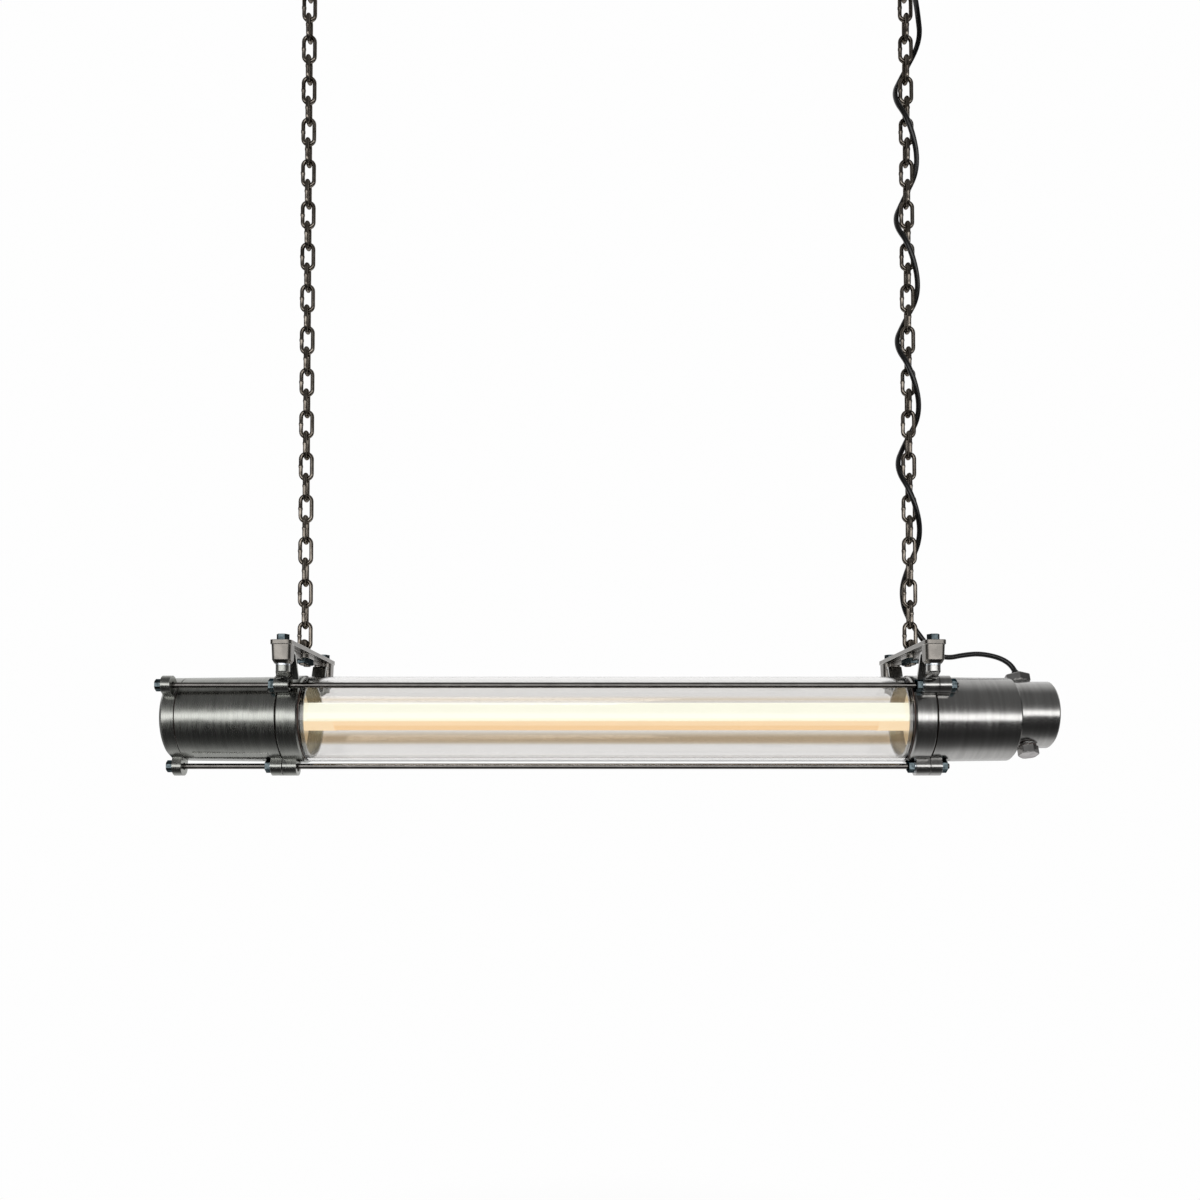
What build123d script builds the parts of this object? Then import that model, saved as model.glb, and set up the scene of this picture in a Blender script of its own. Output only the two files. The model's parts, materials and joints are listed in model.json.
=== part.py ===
from build123d import *
from math import atan2, cos, degrees, hypot, pi, radians, sin, sqrt, tan
import os

# A tubular pendant light: a glass tube clamped between two cast end housings by
# three tie rods, hung level on two steel chains, with its cord wound round the
# right-hand chain. X runs along the lamp, Y from the front to the back, Z up.
# The origin lies on the ceiling, halfway between the two chains.
# Casting functions work in the lamp's own frame, whose X axis is the lamp's axis,
# and lamp_place carries them down to where the lamp hangs.

os.makedirs("parts", exist_ok=True)

# Light source: its length sets the length of the glass and so of the whole lamp
led_length = 590.0
led_radius = 13.4
led_wall = 1.2
led_rise = 2.5
led_split_drop = 5.1
led_cap_length = 11.0
led_saddle_length = 24.0
led_end_gap = 0.6
pin_radius = 1.2
pin_length = 6.5
pin_half_spacing = 6.35

# Discs and lampholders that carry the light source
disc_thickness = 2.0
disc_setback = 9.5
disc_hole_radius = 2.0
disc_hole_inset = 9.4
disc_mouth_radius = 12.0
socket_radius = 16.0
socket_depth = 15.0
rotor_radius = 11.0
rotor_thickness = 4.0

# Lengths along the lamp, from its left end to its right end
cover_length = 14.0
cover_gasket_thickness = 1.0
left_housing_length = 92.6
collar_length = 20.6
flange_gasket_thickness = 0.8
glass_seal_thickness = 1.5
glass_offset = 1.3
right_housing_length = 78.4
terminal_box_length = 38.4

# The glass's radius sets those of the round bodies, each by its own small step
glass_radius = 41.0
glass_wall = 3.5
collar_overlap = 1.0
housing_inset = 1.2
housing_taper = 1.0
casting_wall = 3.4
cover_inset = 1.1
terminal_box_inset = 8.8
terminal_box_rise = 4.3
running_gap = 0.3
edge_round = 1.5

# Tie rods and the lugs that they pass through
rod_clearance = 4.0
rod_diameter = 5.3
rod_turn = 39.4
rod_count = 3
rod_hole_gap = 0.8
rod_overrun = 2.5
lug_radius = 9.0
lug_root_share = 0.85
collar_lug_length = 13.0
housing_lug_length = 10.6
cover_lug_length = 8.8
cover_lug_setback = 3.6
countersink_radius = 5.4
countersink_depth = 2.2
nut_flats = 11.0
nut_height = 5.0
nut_bore_gap = 0.08
washer_radius = 6.6
washer_thickness = 1.1
cap_nut_height = 6.6

# Casting ridge low on the front of the left housing
ridge_turn = -120.0
ridge_width = 6.8
ridge_height = 1.7

# Legs: an arm from a rod lug out to a bolt seat, and a tall fin that rises from it
leg_width = 12.6
leg_rise = 1.3
arm_thickness = 5.6
leg_web_thickness = 3.6
fin_width = 13.4
fin_thickness = 2.4
fin_foot_height = 33.7
fin_head_reach = 52.9
fin_head_height = 57.7
fin_head_round = 3.5

# Yoke bracket over each collar: plate, bolt bosses, middle pad and web
yoke_setback = 15.1
bolt_half_spacing = 70.0
plate_thickness = 3.8
plate_width = 19.2
plate_overhang = 9.8
plate_corner_radius = 4.5
boss_width = 17.8
boss_corner_radius = 4.5
boss_draft_width = 1.0
boss_height = 20.7
boss_foot_height = 3.0
boss_foot_width = 13.6
pad_length = 29.0
pad_width = 13.4
pad_depth = 3.8
bracket_web_width = 4.0
bracket_web_depth = 6.6
bracket_web_end_depth = 2.4

# Bolts of the yoke and the eye that the chain holds
bolt_diameter = 6.0
bolt_flats = 10.0
bolt_head_height = 5.8
bolt_washer_radius = 6.4
bolt_washer_thickness = 1.6
bolt_hole_gap = 0.3
eye_wire = 6.5
eye_height = 8.3
eye_half_width = 7.5
eye_bend_radius = 6.0
eye_nut_flats = 11.0
eye_nut_height = 5.0
eye_thread_overrun = 1.2

# Suspension
chain_wire = 3.9
link_inner_length = 21.05
link_inner_width = 6.9
link_play = 0.45
swinging_links = 31
wire_sides = 6
crown_turns = 6

# Ceiling hooks: a round plate with a bent wire staple welded under it
hook_plate_radius = 30.0
hook_plate_thickness = 4.0
hook_wire = 6.0
hook_drop = 20.3
hook_half_width = 10.0
hook_bend_radius = 6.0
hook_hole_radius = 2.75
hook_hole_inset = 8.0
hook_hole_count = 3

# Terminal box with its lid, cable entry, blanking plug and terminal block
entry_turn = 110.0
entry_station = 14.6
entry_boss_height = 0.8
thread_radius = 8.0
plug_thread_radius = 6.0
thread_reach = 9.0
gland_flats = 22.0
gland_hex_turn = 23.0
gland_nut_height = 7.2
gland_chamfer = 1.2
gland_flange_height = 0.8
gland_seal_height = 4.2
cord_hole_radius = 2.8
plug_flats = 16.5
plug_hex_turn = 20.0
plug_head_height = 8.2
plug_seal_thickness = 1.0
lid_thickness = 6.0
lid_ledge = 1.6
lid_screw_spacing = 27.0
lid_screw_radius = 2.0
block_length = 22.0
block_width = 30.0
block_height = 12.0
block_screw_radius = 2.4
block_screw_spacing = 18.0

# Ceiling rose for the cord, out to the front of the right-hand hook
rose_inset = 8.0
rose_setback = 70.0
rose_radius = 32.0
rose_height = 20.0
rose_wall = 2.0
rose_round = 6.0
rose_base_thickness = 2.5
rose_hole_radius = 2.25
rose_hole_spacing = 40.0
grip_radius = 7.0
grip_height = 12.0
grip_mouth_radius = 4.6

# Cord
cord_diameter = 5.0
cord_run_share = 0.45
cord_sample_length = 2.0

# Stations along the lamp: the light source's own length, with the discs at its
# ends, sets where the joints between the collars and the housings lie
joint_past_led = led_end_gap + disc_thickness + disc_setback
left_joint = -glass_offset - led_length / 2 - joint_past_led
right_joint = -glass_offset + led_length / 2 + joint_past_led
led_left = left_joint + joint_past_led
led_right = right_joint - joint_past_led
glass_left = left_joint + collar_length + glass_seal_thickness
glass_right = right_joint - collar_length - glass_seal_thickness
left_housing_start = left_joint - flange_gasket_thickness
left_housing_end = left_housing_start - left_housing_length
cover_face = left_housing_end - cover_gasket_thickness
cover_end = cover_face - cover_length
right_housing_start = right_joint + flange_gasket_thickness
right_housing_end = right_housing_start + right_housing_length
box_end = right_housing_end + terminal_box_length
chain_x = (right_joint - left_joint) / 2 - yoke_setback

# Radii that follow from the glass and the walls, and the angles of the three rods
collar_radius = glass_radius + collar_overlap
housing_radius = collar_radius - housing_inset
cover_radius = housing_radius - cover_inset
terminal_box_radius = housing_radius - terminal_box_inset
rod_circle_radius = collar_radius + rod_clearance
bore_radius = housing_radius - housing_taper - casting_wall
collar_bore_radius = bore_radius - casting_wall / 2
glass_bore_radius = glass_radius - glass_wall
flange_radius = cover_radius - edge_round
disc_hole_circle_radius = bore_radius - disc_hole_inset
hook_hole_circle_radius = hook_plate_radius - hook_hole_inset
rod_angles = [180 - rod_turn - 360 / rod_count * step for step in range(rod_count)]
over = casting_wall

# Heights of the legs and brackets over the lamp's axis
leg_top = collar_radius + leg_rise
boss_bottom = leg_top + bolt_washer_thickness
plate_top = boss_bottom + boss_height

# Heights along the suspension, worked out downwards from the ceiling
hook_wire_z = -hook_drop
link_pitch = link_inner_length - link_play
hanger_z = hook_wire_z + hook_wire / 2 + link_play - link_inner_length / 2
first_link_z = hanger_z - link_pitch
last_link_z = first_link_z - (swinging_links - 1) * link_pitch
eye_wire_z = last_link_z - link_inner_length / 2 + link_play + eye_wire / 2
axis_z = eye_wire_z - eye_height - plate_top
lamp_place = Pos(0, 0, axis_z)
ceiling_place = Pos(0, 0, 0)

standing = (Align.CENTER, Align.CENTER, Align.MIN)


def save(name, shape, place=lamp_place):
    """Write one named node, moved to its place under the ceiling."""
    placed = place * shape
    placed.label = name
    export_step(placed, f"parts/{name}.step")


def polar(angle, radius):
    """A point in the lamp's cross-section, as its Y and Z."""
    return radius * cos(radians(angle)), radius * sin(radians(angle))


def bar(start, end, radius, y=0, z=0):
    """A round bar along the lamp, between two stations in either order."""
    low, high = sorted((start, end))
    return Pos(low, y, z) * Rot(0, 90, 0) * Cylinder(radius, high - low, align=standing)


def post(bottom, top, radius, x=0, y=0):
    """An upright round bar."""
    return Pos(x, y, bottom) * Cylinder(radius, top - bottom, align=standing)


def pipe(start, end, outer, inner, y=0, z=0):
    """A plain ring or pipe along the lamp."""
    low, high = sorted((start, end))
    return bar(low, high, outer, y, z) - bar(low - over, high + over, inner, y, z)


def turned(outline):
    """A ring turned about the lamp's axis from an outline of stations and radii."""
    return revolve(make_face(Polyline(*[(x, 0, r) for x, r in outline], close=True)), Axis.X)


def upright_face(points):
    """A flat face in the plane of X and Z."""
    return make_face(Polyline(*[(x, 0, z) for x, z in points], close=True))


def hexagon(flats, height, turn=0):
    """A hexagonal head that stands up from its base."""
    return extrude(Rot(0, 0, turn) * RegularPolygon(flats / 2, 6, major_radius=False), height)


def group(solids):
    """Several loose solids that share one node."""
    return Compound(children=list(solids))


def lug(start, end, angle):
    """A rod lug: a round ear on a short neck, without its hole."""
    ear = Pos(rod_circle_radius, 0) * Circle(lug_radius)
    root = lug_radius * lug_root_share
    foot = rod_circle_radius - lug_radius
    neck = [(rod_circle_radius, -lug_radius), (rod_circle_radius, lug_radius), (foot, root), (foot, -root)]
    flat = Rot(0, 0, angle) * (ear + make_face(Polyline(*neck, close=True)))
    return extrude(Plane.YZ.offset(min(start, end)) * flat, abs(end - start))


def at_rods(start, end, radius, angles=rod_angles):
    """Round cuts on the tie rods' own axes, for their holes and nut seats."""
    return [bar(start, end, radius, *polar(angle, rod_circle_radius)) for angle in angles]


def arm(lug_x, lug_angle, post_x, post_side):
    """The arm of a leg, from the top of a rod lug out to the round bolt seat."""
    lug_y, lug_z = polar(lug_angle, rod_circle_radius)
    post_y = post_side * bolt_half_spacing
    run = hypot(post_x - lug_x, post_y - lug_y)
    heading = degrees(atan2(post_y - lug_y, post_x - lug_x))
    half = leg_width / 2
    under = leg_top - arm_thickness
    shoulder = lug_radius * cos(pi / 4)
    side = [(0, lug_z), (shoulder, lug_z + shoulder), (run, under), (run, leg_top)]
    side += [(run - half, leg_top), (0, lug_z + lug_radius)]
    body = extrude(upright_face(side), half, dir=(0, 1, 0), both=True)
    body += post(under, leg_top, half, run)
    return Pos(lug_x, lug_y, 0) * Rot(0, 0, heading) * body


def fin(post_x, post_side):
    """The tall fin of a leg, rounded over towards the boss, on a deep-set web."""
    limit = bolt_half_spacing - boss_width / 2 - running_gap
    lower = fin_head_height - fin_thickness
    inner = fin_head_reach + fin_thickness
    outline = [(collar_radius, fin_foot_height), (collar_radius + fin_thickness, fin_foot_height)]
    outline += [(inner, lower), (limit, lower), (limit, fin_head_height), (fin_head_reach, fin_head_height)]
    profile = upright_face(outline)
    head = profile.vertices().sort_by_distance((fin_head_reach, 0, fin_head_height))[0]
    profile = fillet(head, fin_head_round)
    under = leg_top - arm_thickness
    web = [(collar_radius, fin_foot_height), (bolt_half_spacing, under), (bolt_half_spacing, leg_top)]
    web += [(limit, leg_top), (limit, lower), (inner, lower)]
    body = extrude(profile, fin_width / 2, dir=(0, 1, 0), both=True)
    body += extrude(upright_face(web), leg_web_thickness / 2, dir=(0, 1, 0), both=True)
    return Pos(post_x, 0, 0) * Rot(0, 0, 90 * post_side) * body


def collar(joint, side):
    """A cast collar: ring, three rod lugs and two legs; side is -1 left, +1 right."""
    face = joint - side * collar_length
    spigot = face - side * (glass_seal_thickness + casting_wall)
    shoulder = joint - side * (disc_setback + disc_thickness)
    spigot_radius = glass_bore_radius - running_gap
    rounded = collar_radius - edge_round
    outline = [(joint, bore_radius), (joint, rounded), (joint - side * edge_round, collar_radius)]
    outline += [(face + side * edge_round, collar_radius), (face, rounded)]
    outline += [(face, spigot_radius), (spigot, spigot_radius), (spigot, collar_bore_radius)]
    outline += [(shoulder, collar_bore_radius), (shoulder, bore_radius)]
    inner = joint - side * collar_lug_length
    middle = (joint + inner) / 2
    post_x = side * chain_x
    attached = [lug(joint, inner, angle) for angle in rod_angles]
    for lug_angle, post_side in zip(rod_angles, (-1, 1)):
        attached += [arm(middle, lug_angle, post_x, post_side), fin(post_x, post_side)]
    body = turned(outline)
    for piece in attached:
        body += piece - bar(joint + over, face - side * over, rounded)
    tapped = post(leg_top - 2 * arm_thickness, leg_top + over, (bolt_diameter + bolt_hole_gap) / 2)
    for post_side in (-1, 1):
        body -= Pos(post_x, post_side * bolt_half_spacing, 0) * tapped
    body -= at_rods(joint + side * over, inner - side * over, rod_diameter / 2 + rod_hole_gap)
    if side > 0:
        body -= at_rods(inner, inner - washer_thickness - nut_height - over, washer_radius + running_gap)
    else:
        sink = Cone(rod_diameter / 2 + rod_hole_gap, countersink_radius, countersink_depth, align=standing)
        for angle in rod_angles:
            y, z = polar(angle, rod_circle_radius)
            body -= Pos(inner - countersink_depth, y, z) * Rot(0, 90, 0) * sink
    return body


def bracket():
    """The cast plate over a collar: a drafted boss at each end, a pad and a web."""
    under = plate_top - plate_thickness
    length = 2 * (bolt_half_spacing + plate_overhang)
    plate = RectangleRounded(plate_width, length, plate_corner_radius)
    body = Pos(0, 0, under) * extrude(plate, plate_thickness)
    pad = Rot(0, 0, 90) * SlotOverall(pad_length, pad_width)
    body += Pos(0, 0, under - pad_depth) * extrude(pad, pad_depth)
    knee = boss_bottom + boss_foot_height
    for end in (-1, 1):
        y = end * bolt_half_spacing
        levels = ((under, boss_width), (knee, boss_width - boss_draft_width), (boss_bottom, boss_foot_width))
        rings = [Pos(0, y, z) * RectangleRounded(width, width, boss_corner_radius) for z, width in levels]
        body += loft(rings, ruled=True)
        web_start = end * pad_length / 2
        web = [(0, under), (y, under), (y, under - bracket_web_end_depth)]
        web += [(web_start, under - bracket_web_depth), (web_start, under - pad_depth)]
        web += [(0, under - pad_depth)]
        flat = make_face(Polyline(*web, close=True))
        body += extrude(Plane.YZ * flat, bracket_web_width / 2, both=True)
    for end in (-1, 1):
        bolt_y = end * bolt_half_spacing
        body -= post(boss_bottom - over, plate_top + over, (bolt_diameter + bolt_hole_gap) / 2, 0, bolt_y)
        eye_y = end * eye_half_width
        body -= post(boss_bottom, plate_top + over, (eye_wire + bolt_hole_gap) / 2, 0, eye_y)
    return body


def staple(wire, half_width, height, bend, tail):
    """A bent wire staple in the plane of Y and Z, its crown height above the base."""
    foot, crown = -tail, height
    points = [(0, -half_width, foot), (0, -half_width, crown), (0, half_width, crown), (0, half_width, foot)]
    path = FilletPolyline(*points, radius=bend)
    start = Plane(origin=path @ 0, z_dir=path % 0)
    return sweep(start * Circle(wire / 2), path=path)


def faceted_link():
    """One chain link in the plane of X and Z, its wire and crowns cut to flat facets."""
    turn = 180 / crown_turns
    slice_angle = 2 * pi / wire_sides
    wire_radius = chain_wire / 2 * sqrt(slice_angle / sin(slice_angle))
    apothem = wire_radius * cos(slice_angle / 2)
    bend = link_inner_width / 2 + apothem
    corner_radius = bend / cos(radians(turn / 2))
    reach = link_inner_length / 2 - link_inner_width / 2
    corners = []
    for rise, half_circle in ((reach, 0), (-reach, pi)):
        for step in range(crown_turns):
            angle = radians((step + 1 / 2) * turn) + half_circle
            corners.append((corner_radius * cos(angle), rise + corner_radius * sin(angle)))
    rings = []
    count = len(corners)
    for index, (x, z) in enumerate(corners):
        before = corners[index - 1]
        after = corners[(index + 1) % count]
        heading_in = atan2(z - before[1], x - before[0])
        heading_out = atan2(after[1] - z, after[0] - x)
        half_turn = ((heading_out - heading_in + pi) % (2 * pi) - pi) / 2
        outward = heading_in + half_turn - pi / 2
        ring = []
        for side in range(wire_sides):
            around = slice_angle * (side + 1 / 2)
            across = wire_radius * cos(around) / cos(half_turn)
            ring.append((x + across * cos(outward), wire_radius * sin(around), z + across * sin(outward)))
        rings.append(ring)
    faces = []
    for index in range(count):
        ring, following = rings[index], rings[(index + 1) % count]
        for side in range(wire_sides):
            other = (side + 1) % wire_sides
            flat = [ring[side], ring[other], following[other], following[side]]
            faces.append(Face(Wire.make_polygon(flat, close=True)))
    return Solid(Shell(faces))


def chain(x, link):
    """The links that sway together, each a quarter turn from the one above."""
    links = []
    for index in range(swinging_links):
        quarter = Rot(0, 0, 90 * (index % 2))
        links.append(Pos(x, 0, first_link_z - index * link_pitch) * quarter * link)
    return group(links)


def least_gap(path):
    """The least clear space between two stretches of a cord that lie near each other."""
    count = round(path.length / cord_sample_length)
    points = [path @ (index / count) for index in range(count + 1)]
    apart = round(pi * cord_diameter / cord_sample_length)
    pairs = [(a, b) for a in range(count + 1) for b in range(a + apart, count + 1)]
    return min((points[a] - points[b]).length for a, b in pairs) - cord_diameter


def tube_along(route, name):
    """A round cord along hand-placed points, with the largest arcs its runs allow.

    The points are measured from the right-hand chain.
    """
    points = [(chain_x + x, y, z) for x, y, z in route]
    radii = []
    for before, corner, after in zip(points, points[1:], points[2:]):
        run_in = Vector(*corner) - Vector(*before)
        run_out = Vector(*after) - Vector(*corner)
        half_turn = run_in.get_angle(run_out) / 2
        radii.append(cord_run_share * min(run_in.length, run_out.length) / tan(radians(half_turn)))
    path = FilletPolyline(*points, radius=radii)
    start = Plane(origin=path @ 0, z_dir=path % 0)
    tube = sweep(start * Circle(cord_diameter / 2), path=path)
    expected = pi * (cord_diameter / 2) ** 2 * path.length
    print(name, "length", round(path.length, 1), "radii", [round(radius, 1) for radius in radii])
    print(name, "volume over section times length", round(tube.volume / expected, 5))
    print(name, "least gap to itself", round(least_gap(path), 2))
    return tube


# Ceiling hooks and chains
link = faceted_link()
print("link volume", round(link.volume, 1), "valid", link.is_valid)
for name, x in (("left_ceiling_hook", -chain_x), ("right_ceiling_hook", chain_x)):
    plate = post(-hook_plate_thickness, 0, hook_plate_radius)
    for step in range(hook_hole_count):
        hole_x, hole_y = polar(90 + 360 * step / hook_hole_count, hook_hole_circle_radius)
        plate -= post(-hook_plate_thickness - over, over, hook_hole_radius, hole_x, hole_y)
    root = hook_plate_thickness / 2
    loop = staple(hook_wire, hook_half_width, hook_drop - root, hook_bend_radius, 0)
    loop = Pos(0, 0, -root) * Rot(180, 0, 90) * loop
    save(name, Pos(x, 0, 0) * (plate + loop), ceiling_place)
hangers = [Pos(x, 0, hanger_z) * Rot(0, 0, 90) * link for x in (-chain_x, chain_x)]
save("hanger_links", group(hangers), ceiling_place)
save("left_chain", chain(-chain_x, link), ceiling_place)
save("right_chain", chain(chain_x, link), ceiling_place)

# Brackets with their eyes, nuts, bolts and washers. The bolts are tapped right
# through the arms and end just short of their undersides.
eye_nuts = []
bolts = []
washers = []
pad_bottom = plate_top - plate_thickness - pad_depth
eye_tail = plate_top - pad_bottom + eye_nut_height + eye_thread_overrun
bolt_end = leg_top - arm_thickness + running_gap
for name, x in (("left", -chain_x), ("right", chain_x)):
    save(f"{name}_bracket", Pos(x, 0, 0) * bracket())
    eye = staple(eye_wire, eye_half_width, eye_height, eye_bend_radius, eye_tail)
    save(f"{name}_eye", Pos(x, 0, plate_top) * eye)
    for end in (-1, 1):
        bore = post(-over, eye_nut_height + over, eye_wire / 2 + nut_bore_gap)
        nut_base = pad_bottom - eye_nut_height
        nut = hexagon(eye_nut_flats, eye_nut_height) - bore
        eye_nuts.append(Pos(x, end * eye_half_width, nut_base) * nut)
        bolt = post(bolt_end, plate_top, bolt_diameter / 2)
        bolt += Pos(0, 0, plate_top) * hexagon(bolt_flats, bolt_head_height)
        bolts.append(Pos(x, end * bolt_half_spacing, 0) * bolt)
        bore = post(leg_top - over, boss_bottom + over, (bolt_diameter + bolt_hole_gap) / 2)
        washer = post(leg_top, boss_bottom, bolt_washer_radius) - bore
        washers.append(Pos(x, end * bolt_half_spacing, 0) * washer)
save("eye_nuts", group(eye_nuts))
save("bracket_bolts", group(bolts))
save("bracket_washers", group(washers))

# Collars, glass and the seals between them
save("left_collar", collar(left_joint, -1))
save("right_collar", collar(right_joint, 1))
save("glass_tube", pipe(glass_left, glass_right, glass_radius, glass_bore_radius))
seal_radius = glass_radius - edge_round / 2
left_seal = pipe(glass_left - glass_seal_thickness, glass_left, seal_radius, glass_bore_radius)
right_seal = pipe(glass_right, glass_right + glass_seal_thickness, seal_radius, glass_bore_radius)
save("glass_seals", group([left_seal, right_seal]))
left_gasket = pipe(left_housing_start, left_joint, flange_radius, bore_radius)
right_gasket = pipe(right_joint, right_housing_start, flange_radius, bore_radius)
save("flange_gaskets", group([left_gasket, right_gasket]))

# Left housing: a tapered casting with two rod lugs, spot faces for the nuts and a
# casting ridge. The front rod's nut sits on the collar and needs no lug here.
nut_seat_radius = washer_radius + running_gap
nut_seat_length = washer_thickness + nut_height + over
left_lug_face = left_housing_start - housing_lug_length
lug_root_radius = bore_radius + casting_wall / 2
barrel = turned(
    [
        (left_housing_end, bore_radius),
        (left_housing_end, housing_radius - housing_taper),
        (left_housing_start, housing_radius),
        (left_housing_start, bore_radius),
    ]
)
for angle in rod_angles[1:]:
    ear = lug(left_lug_face, left_housing_start, angle)
    barrel += ear - bar(left_housing_end, left_joint, lug_root_radius)
ridge_length = left_housing_length - 2 * housing_lug_length
ridge_x = (left_housing_end + left_housing_start) / 2
ridge = Pos(ridge_x, 0, -housing_radius + ridge_height / 2) * Box(ridge_length, ridge_width, ridge_height)
barrel += Rot(ridge_turn + 90, 0, 0) * ridge
barrel -= at_rods(left_housing_end, left_joint, rod_diameter / 2 + rod_hole_gap)
barrel -= at_rods(left_joint, left_joint - nut_seat_length, nut_seat_radius, rod_angles[:1])
barrel -= at_rods(left_lug_face, left_lug_face - nut_seat_length, nut_seat_radius, rod_angles[1:])
save("left_housing", barrel)

# Left end cover, a shallow cap with three lugs and a spigot in the housing
spigot_end = cover_face + 2 * casting_wall
spigot_radius = bore_radius - running_gap
cap_floor = cover_end + casting_wall
cap = turned(
    [
        (cover_end, 0),
        (cover_end, cover_radius - 2 * edge_round),
        (cover_end + 2 * edge_round, cover_radius),
        (cover_face, cover_radius),
        (cover_face, spigot_radius),
        (spigot_end, spigot_radius),
        (spigot_end, spigot_radius - casting_wall),
        (cap_floor, spigot_radius - casting_wall),
        (cap_floor, 0),
    ]
)
cover_lug_start = cover_end + cover_lug_setback
cover_lug_end = cover_lug_start + cover_lug_length
for angle in rod_angles:
    cap += lug(cover_lug_start, cover_lug_end, angle) - bar(cover_end, cover_face, spigot_radius)
cap -= at_rods(cover_lug_start - over, cover_lug_end + over, rod_diameter / 2 + rod_hole_gap)
save("left_end_cover", cap)
save("cover_gasket", pipe(cover_face, left_housing_end, flange_radius, bore_radius))

# Right housing: a barrel with three lugs and an end wall with a way for the leads
housing_floor = right_housing_end - casting_wall
right_lug_face = right_housing_start + housing_lug_length
end_radius = housing_radius - housing_taper
barrel = turned(
    [
        (right_housing_start, bore_radius),
        (right_housing_start, housing_radius),
        (right_housing_end - edge_round, end_radius),
        (right_housing_end, end_radius - edge_round),
        (right_housing_end, 0),
        (housing_floor, 0),
        (housing_floor, bore_radius),
    ]
)
for angle in rod_angles:
    ear = lug(right_housing_start, right_lug_face, angle)
    barrel += ear - bar(right_joint, right_housing_end, lug_root_radius)
barrel -= at_rods(right_joint, right_lug_face + over, rod_diameter / 2 + rod_hole_gap)
barrel -= at_rods(right_lug_face, right_lug_face + nut_seat_length, nut_seat_radius)
barrel -= bar(housing_floor - over, right_housing_end + over, thread_radius, 0, terminal_box_rise)
save("right_housing", barrel)

# Terminal box: an eccentric cup, with a threaded seat above for the cable gland and
# one opposite it for the blanking plug, and a lid let into its open end
box_place = lamp_place * Pos(0, 0, terminal_box_rise)
box_bore_radius = terminal_box_radius - casting_wall
box_floor = right_housing_end + casting_wall
entry_x = right_housing_end + entry_station
seat_height = terminal_box_radius + entry_boss_height
gland_entry = Pos(entry_x, 0, 0) * Rot(90 - entry_turn, 0, 0)
plug_entry = Pos(entry_x, 0, 0) * Rot(270 - entry_turn, 0, 0)
lid_start = box_end - lid_thickness
box = bar(right_housing_end, box_end, terminal_box_radius)
box = chamfer(box.edges().sort_by(Axis.X)[-1], edge_round)
box += gland_entry * post(0, seat_height, gland_flats / 2)
box += plug_entry * post(0, seat_height, plug_flats / 2)
box -= bar(box_floor, box_end + over, box_bore_radius - lid_ledge)
box -= bar(lid_start, box_end + over, box_bore_radius)
box -= gland_entry * post(0, seat_height + over, thread_radius + nut_bore_gap)
box -= plug_entry * post(0, seat_height + over, plug_thread_radius + nut_bore_gap)
box -= bar(right_housing_end - over, box_floor + over, thread_radius)
save("terminal_box", box, box_place)
lid = bar(lid_start, box_end - edge_round, box_bore_radius - running_gap)
for side in (-1, 1):
    lid -= bar(lid_start + lid_thickness / 2, box_end, lid_screw_radius, side * lid_screw_spacing / 2)
save("terminal_cover", lid, box_place)

# Cable gland on top: threaded body, rubber seal and clamping nut
gland_seat = gland_entry * Pos(0, 0, seat_height)
cord_hole = post(-thread_reach - over, gland_flange_height + gland_nut_height + over, cord_hole_radius)
gland_body = post(-thread_reach, gland_flange_height, thread_radius)
gland_body += post(0, gland_flange_height, gland_flats / 2)
save("gland_body", gland_seat * (gland_body - cord_hole), box_place)
nut_top = gland_flange_height + gland_nut_height
cone_height = gland_nut_height + gland_chamfer
cone = Cone(gland_flats / 2 + cone_height, gland_flats / 2, cone_height, align=standing)
gland_nut = Pos(0, 0, gland_flange_height) * (hexagon(gland_flats, gland_nut_height, gland_hex_turn) & cone)
gland_seal_radius = thread_radius - gland_chamfer
gland_seal_top = gland_flange_height + gland_seal_height
gland_nut -= post(gland_flange_height - over, gland_seal_top, gland_seal_radius)
save("gland_nut", gland_seat * (gland_nut - cord_hole), box_place)
seal = post(gland_flange_height, gland_seal_top, gland_seal_radius - nut_bore_gap)
save("gland_seal", gland_seat * (seal - cord_hole), box_place)

# Blanking plug underneath, on its own sealing ring
plug_seat = plug_entry * Pos(0, 0, seat_height)
ring_hole = post(-over, plug_seal_thickness + over, plug_thread_radius + nut_bore_gap)
save("plug_seal", plug_seat * (post(0, plug_seal_thickness, plug_flats / 2) - ring_hole), box_place)
cone_height = plug_head_height + gland_chamfer / 2
cone = Cone(plug_flats / 2 + cone_height, plug_flats / 2, cone_height, align=standing)
plug = Pos(0, 0, plug_seal_thickness) * (hexagon(plug_flats, plug_head_height, plug_hex_turn) & cone)
plug += post(-thread_reach, plug_seal_thickness, plug_thread_radius)
save("blanking_plug", plug_seat * plug, box_place)

# Terminal block in the box
block = Pos(0, 0, -block_height) * Box(block_length, block_width, block_height)
for side in (-1, 1):
    for end in (-1, 1):
        screw_x, screw_y = side * block_length / 4, end * block_screw_spacing / 2
        block -= post(-block_height, 0, block_screw_radius, screw_x, screw_y)
save("terminal_block", Pos(box_floor + block_length / 2, 0, 0) * block, box_place)

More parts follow.
